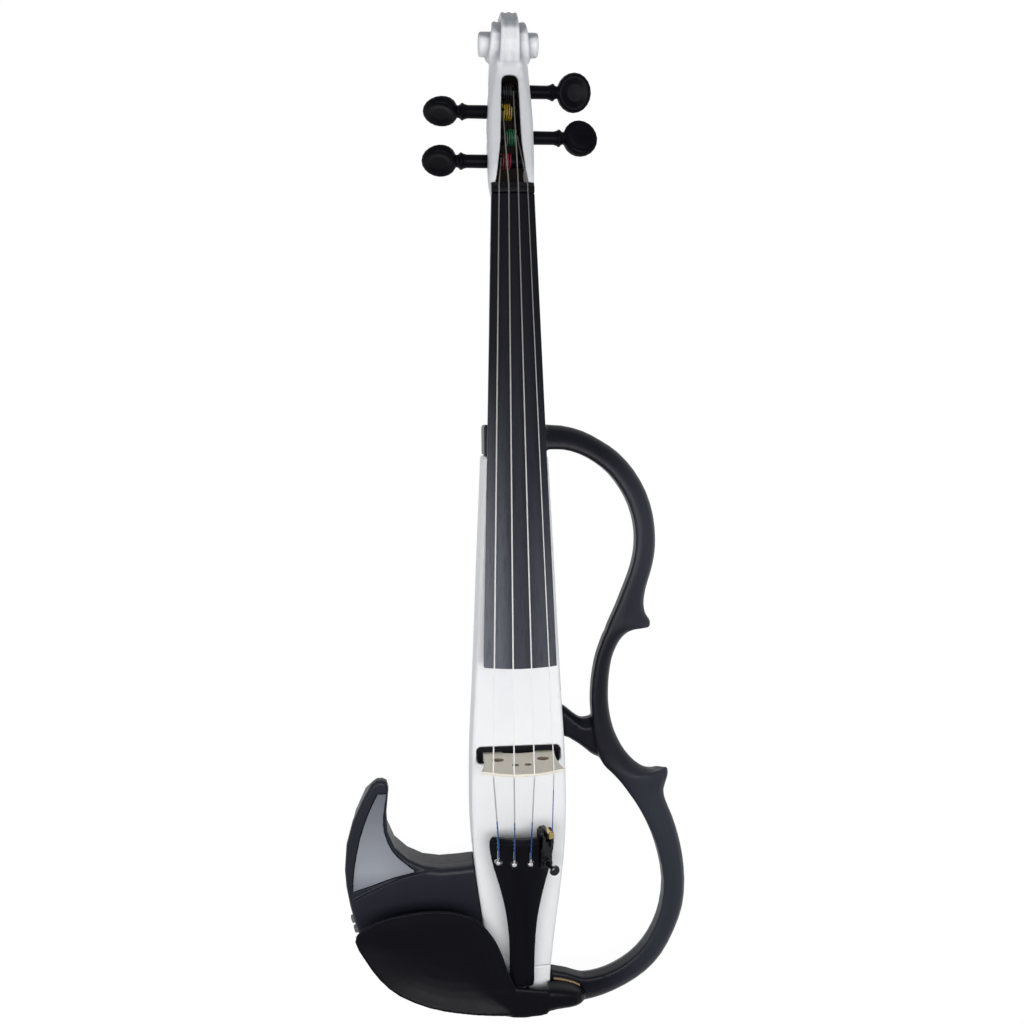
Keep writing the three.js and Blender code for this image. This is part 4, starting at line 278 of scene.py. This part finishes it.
# The fingerboard's stained wood, with a painted sheen that grows paler towards its end and down its two
# flanks.
# Its stops run from the nut (0) to the free end (1).
BOARD_SHEEN_STOPS = [
    (0, (0.003, 0.003, 0.0055)), (0.3, (0.006, 0.006, 0.0105)), (0.6, (0.015, 0.0155, 0.024)),
    (0.82, (0.03, 0.031, 0.043)), (1, (0.043, 0.045, 0.06)),
]


def fingerboard_wood():
    finish = Finish("fingerboard_wood", (0.01, 0.01, 0.012), 0.5, Specular_IOR_Level=0.1)
    along = 1 - finish.along("fingerboard", "y")
    across = finish.along("fingerboard", "x") * 2 - 1
    # Painted sheen, along the board and on its flanks towards the free end
    board_sheen = finish.node("ShaderNodeValToRGB", {"stops": BOARD_SHEEN_STOPS}, along)
    bass_sheen = (1 - across.above(-0.45, 0.4)) * along.above(0.6, 0.3)
    treble_sheen = across.above(0.5, 0.4) * along.above(0.72, 0.25)
    tone = finish.mix(bass_sheen * 0.62, board_sheen, (0.2, 0.21, 0.24))
    tone = finish.mix(treble_sheen * 0.4, tone, (0.15, 0.155, 0.185))
    grain = finish.noise(1, detail=5, at=finish.stretched(900, 18, 900), roughness=0.6)
    finish.put("Base Color", finish.mix(grain.above(0.6, 0.12) * 0.3, tone, (0.003, 0.003, 0.004)))
    finish.put("Roughness", grain * 0.2 + 0.4)
    finish.bump(grain, strength=0.18)
    return finish.material


# Bare pale wood of the bridge, with its short flecks
def bridge_wood():
    finish = Finish("bridge_wood", (0.80, 0.76, 0.66), 0.55)
    grain = finish.noise(1, detail=4, at=finish.stretched(120, 500, 1500))
    fleck = finish.noise(1, at=finish.stretched(1100, 500, 260)).above(0.66, 0.05)
    tone = finish.mix(grain, (0.84, 0.80, 0.70), (0.72, 0.67, 0.56))
    finish.put("Base Color", finish.mix(fleck * 0.4, tone, (0.5, 0.43, 0.32)))
    finish.bump(grain, strength=0.2)
    return finish.material


# Cork: warm cells, with darker patches
def cork():
    finish = Finish("cork", (0.42, 0.28, 0.15), 0.9)
    cells = finish.node("ShaderNodeTexVoronoi", {}, Vector=finish.place, Scale=700)
    patches = finish.noise(350, detail=4)
    finish.put("Base Color", finish.mix(patches, (0.50, 0.35, 0.2), (0.26, 0.16, 0.08)))
    finish.bump(cells, strength=0.5, depth=0.3 * MM)
    return finish.material


# Fine upright scratches, as on turned and drawn steel
def scratched(finish):
    return finish.noise(1, at=finish.stretched(3000, 3000, 200))


# Polished or blackened steel, by its colour
def bright_steel(name, color):
    finish = Finish(name, color, 0.25, Metallic=1.0)
    finish.put("Roughness", finish.noise(400, detail=4) * 0.18 + 0.16)
    finish.bump(scratched(finish), strength=0.08)
    return finish.material


# The tuner's lever: blackened steel, with the side of its hook that holds the string in bare brass
HOOK_LENGTH = 5.2 * MM
HOOK_BLEND = 0.6 * MM


def lever_steel():
    finish = Finish("lever_steel", (0.05, 0.05, 0.055), 0.28, Metallic=1.0)
    end = finish.y.above(high("tuner_lever").y - HOOK_LENGTH, CRISP)
    hook = end * finish.x.above(centre_x("tuner_lever") + HOOK_BLEND, HOOK_BLEND)
    scratches = scratched(finish)
    brass = finish.mix(scratches, (0.62, 0.44, 0.16), (0.8, 0.6, 0.28))
    finish.put("Base Color", finish.mix(hook, (0.05, 0.05, 0.055), brass))
    finish.put("Roughness", scratches * 0.15 + 0.2)
    finish.bump(scratches, strength=0.08)
    return finish.material


# A string: ribs of flat wire, tarnished where it is played and grey behind the bridge, silk near its tail
# end, and a bright ball before the silk
SILVER = (0.98, 0.96, 0.92)
TARNISH_MIDDLE = 60 * MM
TARNISH_BLEND = 120 * MM
BRIDGE_BLEND = 2 * MM


def wound_string(name, silk_color, silk_from, silk_to):
    finish = Finish(f"string_wire_{name}", SILVER, 0.3, Metallic=0.3)
    past_ball = finish.y.above(silk_from, CRISP)
    wrap = (1 - finish.y.above(silk_to, CRISP)) * past_ball
    behind = (1 - finish.y.above(low("bridge").y, BRIDGE_BLEND)) * past_ball
    ball = 1 - past_ball
    ribs = finish.node("ShaderNodeTexWave", {"bands_direction": "Y"}, Vector=finish.place, Scale=900)
    thread = finish.node("ShaderNodeTexWave", {"bands_direction": "DIAGONAL"}, Vector=finish.place, Scale=420)
    tone = finish.mix(ribs, SILVER, toned(SILVER, 0.85))
    tone = finish.mix(finish.y.above(TARNISH_MIDDLE, TARNISH_BLEND), tone, (0.2, 0.2, 0.19))
    tone = finish.mix(ball, tone, (0.8, 0.81, 0.83))
    tone = finish.mix(behind, tone, (0.4, 0.41, 0.4))
    finish.put("Base Color", finish.mix(wrap, tone, finish.mix(thread, silk_color, toned(silk_color, 0.4))))
    finish.put("Metallic", (1 - wrap) * 0.3 + ball * 0.7)
    finish.put("Roughness", wrap * 0.4 + 0.3 - ball * 0.1)
    finish.bump(ribs, strength=0.25)
    return finish.material


# Silk, with its fine fibres drawn out across the instrument
def silk(name, color):
    finish = Finish(name, color, 0.6)
    thread = finish.noise(1, at=finish.stretched(600, 4000, 4000))
    finish.put("Base Color", finish.mix(thread, color, toned(color, 0.45)))
    finish.bump(thread, strength=0.4)
    return finish.material


# The circuit board's green coat, with a pattern of tracks
def solder_mask():
    finish = Finish("solder_mask", (0.03, 0.16, 0.07), 0.35)
    tracks = finish.node("ShaderNodeTexBrick", {}, Vector=finish.place, Scale=260)
    finish.put("Base Color", finish.mix(tracks, (0.03, 0.16, 0.07), (0.05, 0.24, 0.10)))
    finish.bump(finish.noise(500), strength=0.1)
    return finish.material


STEEL = bright_steel("bright_steel", (0.72, 0.73, 0.75))
SCREW_BLACK = bright_steel("black_steel", (0.05, 0.05, 0.055))
INSIDE = dark_wood("pegbox_inside", (0.010, 0.008, 0.006), 0.6)
# Painted shade for the walls inside the bridge's holes, as a dark wood
HOLE_SHADE = dark_wood("scorched_holes", (0.16, 0.12, 0.08), 0.8)

# The finish of each CAD node; the housing's and the yoke's screws and the clamp's metal, which aren't named
# here, are bright steel
finish_rows = [
    (white_lacquer(), "body tail_block neck_and_scroll"),
    (fingerboard_wood(), "fingerboard"),
    (dark_wood("black_wood", (0.002, 0.002, 0.0035), 0.36, specular=0.07), "nut saddle end_button tailpiece"),
    (dark_wood("peg_wood", (0.0015, 0.0015, 0.003), 0.36, specular=0.05, axis=0), "peg_g peg_d peg_a peg_e"),
    (bridge_wood(), "bridge"),
    (moulded_black("smooth_black", (0.0025, 0.0025, 0.0045), 0.4, grain=0.03, specular=0.1),
     "tailgut pickup_tray pickup_lead volume_wheel power_switch reverb_switch chinrest"),
    (moulded_black("moulded_black", (0.0105, 0.011, 0.0175), 0.42, specular=0.2),
     "housing_front housing_back battery_door"),
    (frame_black(), "frame"),
    (panel_coat(), "housing_panel"),
    (moulded_black("battery_case", (0.012, 0.0125, 0.016), 0.45), "battery"),
    (moulded_black("socket_grey", (0.13, 0.135, 0.14), 0.4), "phones_jack line_jack"),
    (solder_mask(), "circuit_board"),
    (cork(), "chinrest_pad_bass chinrest_pad_treble clamp_foot_pad"),
    (SCREW_BLACK, "tuner_body tuner_screw"),
    (lever_steel(), "tuner_lever"),
    (silk("red_silk", (0.30, 0.03, 0.04)), "winding_g"),
    (silk("yellow_silk", (0.55, 0.38, 0.02)), "winding_d"),
    (silk("black_silk", (0.015, 0.015, 0.02)), "winding_a"),
    (silk("green_silk", (0.04, 0.22, 0.10)), "winding_e"),
]
node_finishes = {node: material for material, nodes in finish_rows for node in nodes.split()}

# The silk at each string's tail end, with a pale thread wound over it. A row has the silk's colour, the
# thread's finish, where the silk starts, where the thread starts, where both end, and the string's radius.
# The tuner holds the e string, so its three places are its own.
SILK_END = -166.8 * MM
BALL_REACH = 5.2 * MM
TUNER_SILK = (-190 * MM, -170.5 * MM, -148 * MM)
BLUE = ((0.02, 0.08, 0.30), silk("pale_thread_blue", (0.22, 0.55, 0.85)))
VIOLET = ((0.10, 0.09, 0.50), silk("pale_thread_violet", (0.35, 0.33, 0.75)))
silk_rows = {}
for string, radius in (("g", 0.4), ("d", 0.4), ("a", 0.35)):
    start = low(f"string_{string}").y + BALL_REACH
    silk_rows[string] = (*BLUE, start, start, SILK_END, radius * MM)
silk_rows["e"] = (*VIOLET, *TUNER_SILK, 0.2 * MM)
for string, (color, _, start, _, end, _) in silk_rows.items():
    node_finishes[f"string_{string}"] = wound_string(string, color, start, end)


# Pieces that stand for the CAD nodes
def link(name, mesh, material):
    piece = bpy.data.objects.new(name, mesh)
    bpy.context.scene.collection.objects.link(piece)
    mesh.materials.clear()
    mesh.materials.append(material)
    return piece


def stand_for(name, mesh, material):
    piece = link(f"{name}_dressed", mesh, material)
    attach(piece, frame["nodes"][name]["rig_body"])
    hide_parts(name)


def draft_of(mesh):
    draft = bpy.data.objects.new("draft", mesh)
    bpy.context.scene.collection.objects.link(draft)
    return draft


# The plain mesh that a draft's modifiers make; the draft itself goes
def finished_mesh(draft):
    depsgraph = bpy.context.evaluated_depsgraph_get()
    mesh = bpy.data.meshes.new_from_object(draft.evaluated_get(depsgraph))
    bpy.data.objects.remove(draft)
    return mesh


# A mesh shaded smooth, after a step on its faces
def reworked(mesh, step):
    shape = bmesh.new()
    shape.from_mesh(mesh)
    step(shape)
    for face in shape.faces:
        face.smooth = True
    shape.to_mesh(mesh)
    shape.free()
    return mesh


# A CAD node's mesh with its triangles joined, and its flat faces made whole where an angle is given
def merged_copy(name, flat=None):
    def merge(shape):
        bmesh.ops.remove_doubles(shape, verts=shape.verts, dist=0.01 * MM)
        if flat:
            bmesh.ops.dissolve_limit(shape, angle_limit=flat, verts=shape.verts, edges=shape.edges)

    return reworked(frame["nodes"][name].data.copy(), merge)


def modified(mesh, *modifiers):
    draft = draft_of(mesh)
    for kind, settings in modifiers:
        modifier = draft.modifiers.new(kind.lower(), kind)
        for key, value in settings.items():
            setattr(modifier, key, value)
    return finished_mesh(draft)


# A machined or cut piece: its edges broken by a small bevel, its curves shaded smooth
FLAT_ANGLE = math.radians(0.6)
CREASE_ANGLE = math.radians(34)


def dress(name, material, edge):
    bevel = {
        "width": edge * MM, "segments": 2, "limit_method": "ANGLE", "angle_limit": CREASE_ANGLE,
        "use_clamp_overlap": False, "harden_normals": True,
    }
    shading = {"keep_sharp": True}
    mesh = modified(merged_copy(name, FLAT_ANGLE), ("BEVEL", bevel), ("WEIGHTED_NORMAL", shading))
    stand_for(name, mesh, material)


# A moulded or carved piece: remeshed finely and relaxed, so its ridges and joins flow into each other
def mould(name, material, cell, passes):
    remesh = {"mode": "VOXEL", "voxel_size": cell * MM, "use_smooth_shade": True}
    relax = {"factor": 0.5, "iterations": passes}
    stand_for(name, modified(merged_copy(name), ("REMESH", remesh), ("SMOOTH", relax)), material)


# The cell in mm and the passes of relaxing of each moulded or carved piece
moulds = {
    "frame": (0.8, 10), "chinrest": (0.6, 8), "neck_and_scroll": (0.6, 4), "body": (1.0, 2),
    "tail_block": (0.8, 3), "tailpiece": (0.4, 3), "housing_front": (0.5, 3),
    "peg_g": (0.35, 3), "peg_d": (0.35, 3), "peg_a": (0.35, 3), "peg_e": (0.35, 3),
}
# Edge radius in mm of the other pieces, where it isn't the usual one
edges = {"housing_back": 0.6, "fingerboard": 0.5, "bridge": 0.25, "nut": 0.3}
usual_edge = 0.15
# Nodes that are shown as they are, in their own finish
plain_nodes = (
    "string_g", "string_d", "string_a", "string_e", "winding_g", "winding_d", "winding_a", "winding_e",
    "chinrest_pad_bass", "chinrest_pad_treble", "housing_panel",
)
for name, node in frame["nodes"].items():
    material = node_finishes.get(name, STEEL)
    if name in plain_nodes:
        node.data.materials.clear()
        node.data.materials.append(material)
    elif name in moulds:
        mould(name, material, *moulds[name])
    else:
        dress(name, material, edges.get(name, usual_edge))


# How much painted shade greys the lacquer at each point, kept with the mesh: a little over the pegbox's
# cheeks, and past them most in the carved grooves and over the crown, where the surface turns towards +Y
CHEEK_LENGTH = 60 * MM
CHEEK_BLEND = 12 * MM
CHEEK_SHADE = 0.42
SCROLL_BLEND = 10 * MM
GROOVE_DEPTH = 0.45 * MM
GROOVE_REACH = 20
SHADE_BLUR = 14
CROWN_TURN = 0.12
CROWN_SHADE = 3


def mark_painted_shade(mesh):
    count = len(mesh.vertices)
    points, normals = numpy.empty(count * 3), numpy.empty(count * 3)
    mesh.vertices.foreach_get("co", points)
    mesh.vertices.foreach_get("normal", normals)
    points, normals = points.reshape(-1, 3), normals.reshape(-1, 3)
    ends = numpy.empty(len(mesh.edges) * 2, dtype=int)
    mesh.edges.foreach_get("vertices", ends)
    one, other = ends.reshape(-1, 2).T
    neighbours = numpy.bincount(ends, minlength=count)[:, None]

    def relaxed(values, rounds):
        for _ in range(rounds):
            total = numpy.zeros_like(values)
            numpy.add.at(total, one, values[other])
            numpy.add.at(total, other, values[one])
            values = total / neighbours
        return values

    def limited(values):
        return numpy.clip(values, 0, 1)

    past_nut = points[:, 1:2] - high("nut").y
    # Painted shade: in hollows below the relaxed surface, on faces turned towards +Y, and on the cheeks
    hollow = ((relaxed(points, GROOVE_REACH) - points) * normals).sum(axis=1, keepdims=True) / GROOVE_DEPTH
    crown = limited(relaxed(normals, SHADE_BLUR)[:, 1:2] - CROWN_TURN) * CROWN_SHADE
    scroll = limited((past_nut - CHEEK_LENGTH) / SCROLL_BLEND)
    cheek = limited(past_nut / CHEEK_BLEND) * (1 - scroll) * CHEEK_SHADE
    grey = (relaxed(limited(hollow), SHADE_BLUR) + crown) * scroll + cheek
    groove = mesh.attributes.new("groove", "FLOAT", "POINT")
    groove.data.foreach_set("value", limited(grey).ravel())


# Gives a second finish to the faces that a test picks
def paint_faces(mesh, material, picks):
    mesh.materials.append(material)
    for face in mesh.polygons:
        if picks(face):
            face.material_index = 1


# The pegbox is bare dark wood inside: the faces between its cheeks, below their front edges, which fall away
# and draw together towards the scroll
CAVITY_LENGTH = 81 * MM
CAVITY_DEPTH = 24 * MM
CAVITY_SHARES = (-0.02, 0.9)
FRONT_HEIGHT = 37.8 * MM
FRONT_FALL = 10.7 * MM
FRONT_EDGE = 0.8 * MM
CAVITY_HALF = 8.8 * MM
CAVITY_TAPER = 2.8 * MM
BACK_TURN = -0.1
cavity_start = low("nut").y


def in_pegbox(face):
    x, y, z = face.center
    share = (y - cavity_start) / CAVITY_LENGTH
    front = FRONT_HEIGHT - FRONT_FALL * share
    between = abs(x) < CAVITY_HALF - CAVITY_TAPER * share
    inside = CAVITY_SHARES[0] < share < CAVITY_SHARES[1] and front - CAVITY_DEPTH < z < front - FRONT_EDGE
    return inside and between and face.normal.z > BACK_TURN


# The bridge's holes get painted shade on their inner walls. A row stands for a hole on each side. It
# has how far out the hole is, and then its place upwards, its half width and its half height as shares of the
# bridge's height.
bridge_foot, bridge_middle = low("bridge").z, centre_x("bridge")
bridge_height = high("bridge").z - bridge_foot
hole_rows = (
    (13.2 * MM, 0.37, 0.12, 0.09),
    (3.6 * MM, 0.6, 0.077, 0.065),
)
FACE_TURN = 0.8


def in_bridge_hole(face):
    across, up = abs(face.center.x - bridge_middle), face.center.z - bridge_foot

    def within(out, middle, wide, tall):
        sideways = (across - out) / (bridge_height * wide)
        upright = (up - bridge_height * middle) / (bridge_height * tall)
        return sideways ** 2 + upright ** 2 < 1

    return abs(face.normal.y) < FACE_TURN and any(within(*row) for row in hole_rows)


neck = bpy.data.objects["neck_and_scroll_dressed"].data
paint_faces(neck, INSIDE, in_pegbox)
paint_faces(bpy.data.objects["bridge_dressed"].data, HOLE_SHADE, in_bridge_hole)
mark_painted_shade(neck)


# A Geometry Nodes tree with named inputs; it ends in Realize Instances and Set Material
class Pattern(Tree):
    def __init__(self, name):
        super().__init__(bpy.data.node_groups.new(name, "GeometryNodeTree"))
        self.tree.interface.new_socket("Geometry", in_out="OUTPUT", socket_type="NodeSocketGeometry")
        self.inputs = self.tree.nodes.new("NodeGroupInput")
        self.sockets = {}

    def size(self, name, kind="Float"):
        kind = f"NodeSocket{kind}"
        self.sockets[name] = self.tree.interface.new_socket(name, in_out="INPUT", socket_type=kind)
        return Socket(self, self.inputs.outputs[name])

    def finish(self, geometry):
        whole = self.node("GeometryNodeRealizeInstances", {}, Geometry=geometry)
        material = self.size("Finish", "Material")
        painted = self.node("GeometryNodeSetMaterial", {}, Geometry=whole, Material=material)
        self.fill(self.tree.nodes.new("NodeGroupOutput").inputs[0], painted)
        return self

    # The tree's result with these sizes, as a plain mesh
    def made(self, **sizes):
        draft = draft_of(bpy.data.meshes.new("draft"))
        modifier = draft.modifiers.new("pattern", "NODES")
        modifier.node_group = self.tree
        for name, value in sizes.items():
            modifier[self.sockets[name].identifier] = value
        draft.update_tag()
        return finished_mesh(draft)


# Thread wound along a string: one turn after another round the wire
def thread_pattern():
    pattern = Pattern("wound_thread")
    wire, length, turns, thread = (pattern.size(name) for name in ("Wire", "Length", "Turns", "Thread"))
    helix = pattern.node(
        "GeometryNodeCurveSpiral", {}, Resolution=10, Rotations=turns, Start_Radius=wire, End_Radius=wire,
        Height=length,
    )
    section = pattern.node("GeometryNodeCurvePrimitiveCircle", {}, Resolution=5, Radius=thread)
    tube = pattern.node("GeometryNodeCurveToMesh", {}, Curve=helix, Profile_Curve=section, Fill_Caps=True)
    return pattern.finish(tube)


# Fine ribs round a knob: a ring of thin bars along its axis
def knurl_pattern():
    pattern = Pattern("knurled_ring")
    count, ring = pattern.size("Count", "Int"), pattern.size("Ring")
    bar, length = pattern.size("Bar"), pattern.size("Length")
    circle = pattern.node("GeometryNodeMeshCircle", {}, Vertices=count, Radius=ring)
    rod = pattern.node("GeometryNodeMeshCylinder", {}, Vertices=6, Radius=bar, Depth=length)
    return pattern.finish(pattern.node("GeometryNodeInstanceOnPoints", {}, Points=circle, Instance=rod))


# A pattern's mesh, made along +Z, stood on a point and turned along a direction
def place_pattern(name, mesh, material, point, direction, body):
    turn = direction.to_track_quat("Z", "Y").to_matrix().to_4x4()
    mesh.transform(Matrix.Translation(point) @ turn)
    reworked(mesh, lambda shape: bmesh.ops.recalc_face_normals(shape, faces=shape.faces))
    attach(link(name, mesh, material), body)


# Middle of a string's mesh where it crosses a line across the instrument, between its two nearest rings
def string_middle(name, y):
    points = [vertex.co for vertex in frame["nodes"][f"string_{name}"].data.vertices]
    before = max((point.y for point in points if point.y <= y), default=y)
    after = min((point.y for point in points if point.y > y), default=y)
    rings = [[point for point in points if abs(point.y - at) < CRISP] for at in (before, after)]
    first, second = (sum(ring, Vector()) / len(ring) for ring in rings)
    gap = second.y - first.y
    share = (y - first.y) / gap if abs(gap) > 0.001 * MM else 0
    return first.lerp(second, share)


THREAD_PITCH = 2.6 * MM
THREAD_RADIUS = 0.13 * MM
thread_tree = thread_pattern()
for string, (_, material, _, start, end, radius) in silk_rows.items():
    foot, top = string_middle(string, start), string_middle(string, end)
    length = (top - foot).length
    turns = length / THREAD_PITCH
    mesh = thread_tree.made(Wire=radius, Length=length, Turns=turns, Thread=THREAD_RADIUS, Finish=material)
    place_pattern(f"string_{string}_thread", mesh, material, foot, top - foot, "violin")

# The ribs round the tuner screw's knob, below its crown
KNURL_BELOW_CROWN = 2.3 * MM
tuner = next(joint for joint in frame["joints"] if joint["name"] == "tuner_screw_turn")
pivot, up_screw = Vector(tuner["pos_m"]), -Vector(tuner["axis"])
knurl_height = high("tuner_screw").z - KNURL_BELOW_CROWN
knurl_middle = pivot + up_screw * (knurl_height - pivot.z) / up_screw.z
ribs = knurl_pattern().made(Count=22, Ring=2.85 * MM, Bar=0.2 * MM, Length=1.0 * MM, Finish=SCREW_BLACK)
place_pattern("tuner_screw_knurl", ribs, SCREW_BLACK, knurl_middle, up_screw, "tuner_screw")


# Camera: fitted to the photograph, in the source's own frame, whose origin is on the bridge line
SOURCE_ORIGIN = Vector((0.25, -136.148, 0)) * MM
CAMERA_PLACE = Vector((-61.84, 200.30, 680.05)) * MM
CAMERA_TURNS = (("Z", 0.525), ("X", 4.981), ("Y", 5.340))
SENSOR_WIDTH = 36
PICTURE_WIDTH = 1024
FOCAL_LENGTH_IN_PIXELS = 1100


def add_camera():
    turn = Matrix.Identity(3)
    for axis, degrees in CAMERA_TURNS:
        turn = turn @ Matrix.Rotation(math.radians(degrees), 3, axis)
    camera = bpy.data.objects.new("camera", bpy.data.cameras.new("camera"))
    bpy.context.scene.collection.objects.link(camera)
    camera.matrix_world = Matrix.Translation(CAMERA_PLACE + SOURCE_ORIGIN) @ turn.transposed().to_4x4()
    camera.data.sensor_width = SENSOR_WIDTH
    camera.data.lens = SENSOR_WIDTH * FOCAL_LENGTH_IN_PIXELS / PICTURE_WIDTH
    camera.data.clip_start = 10 * MM
    bpy.context.scene.camera = camera


# Floor: pale, and white to the camera and in reflections, but for the object's shadow
FLOOR_HALF = 4
FLOOR_GAP = 0.5 * MM
GLOW = 1.1
GLOW_SHARE = 0.88


def add_floor():
    corners = [(x * FLOOR_HALF, y * FLOOR_HALF, 0) for x, y in ((-1, -1), (1, -1), (1, 1), (-1, 1))]
    mesh = bpy.data.meshes.new("floor")
    mesh.from_pydata(corners, [], [(0, 1, 2, 3)])
    finish = Finish("floor", (0.45, 0.45, 0.46), 0.9)
    rays = finish.node("ShaderNodeLightPath", {}, out="Is Camera Ray")
    glossy = Socket(finish, rays.socket.node.outputs["Is Glossy Ray"])
    glow = finish.node("ShaderNodeEmission", {}, Strength=GLOW)
    plain = Socket(finish, finish.shader.outputs[0])
    mixed = finish.node("ShaderNodeMixShader", {}, rays.math("MAXIMUM", glossy) * GLOW_SHARE, plain, glow)
    finish.fill(finish.tree.nodes["Material Output"].inputs[0], mixed)
    piece = link("floor", mesh, finish.material)
    piece.location.z = cad_box[0][2] - FLOOR_GAP


# World: dim on the object, brighter low down in reflections, and white to the camera
PLAIN_STRENGTH = 0.2
HORIZON_STRENGTH = 0.7
OVERHEAD_STRENGTH = 0.24


def add_world():
    world = bpy.data.worlds.new("studio")
    bpy.context.scene.world = world
    world.use_nodes = True
    sky = Tree(world.node_tree)
    direction = sky.node("ShaderNodeTexCoord", {}, out="Generated")
    height = sky.node("ShaderNodeSeparateXYZ", {}, direction, out=2)
    reflected = sky.node("ShaderNodeMapRange", {}, height, To_Min=HORIZON_STRENGTH, To_Max=OVERHEAD_STRENGTH)
    rays = sky.node("ShaderNodeLightPath", {}, out="Is Camera Ray")
    glossy = Socket(sky, rays.socket.node.outputs["Is Glossy Ray"])
    light = sky.node("ShaderNodeMix", {}, Factor=glossy, A=PLAIN_STRENGTH, B=reflected)
    strength = sky.node("ShaderNodeMix", {}, Factor=rays, A=light, B=1)
    background = world.node_tree.nodes["Background"]
    sky.fill(background.inputs["Color"], (0.95, 0.97, 1, 1))
    sky.fill(background.inputs["Strength"], strength)


# Lamps: place and size in metres, and power in watts; each looks at the origin
lamps = {
    "softbox": ((0, 0, 1.0), (1.0, 0.35), 8.4),
    "soft_left": ((-1.4, -0.35, 1.2), (1.2, 1.4), 3.2),
    "soft_right": ((1.5, -0.3, 1.1), (0.8, 1.4), 2.2),
}


def add_lamp(name, place, size, power):
    light = bpy.data.lights.new(name, "AREA")
    light.shape = "RECTANGLE"
    light.size, light.size_y = size
    light.energy = power
    lamp = bpy.data.objects.new(name, light)
    lamp.location = place
    lamp.rotation_euler = (-Vector(place)).to_track_quat("-Z", "Y").to_euler()
    bpy.context.scene.collection.objects.link(lamp)


add_camera()
add_floor()
for name, row in lamps.items():
    add_lamp(name, *row)
add_world()
bpy.context.scene.view_settings.view_transform = "Standard"
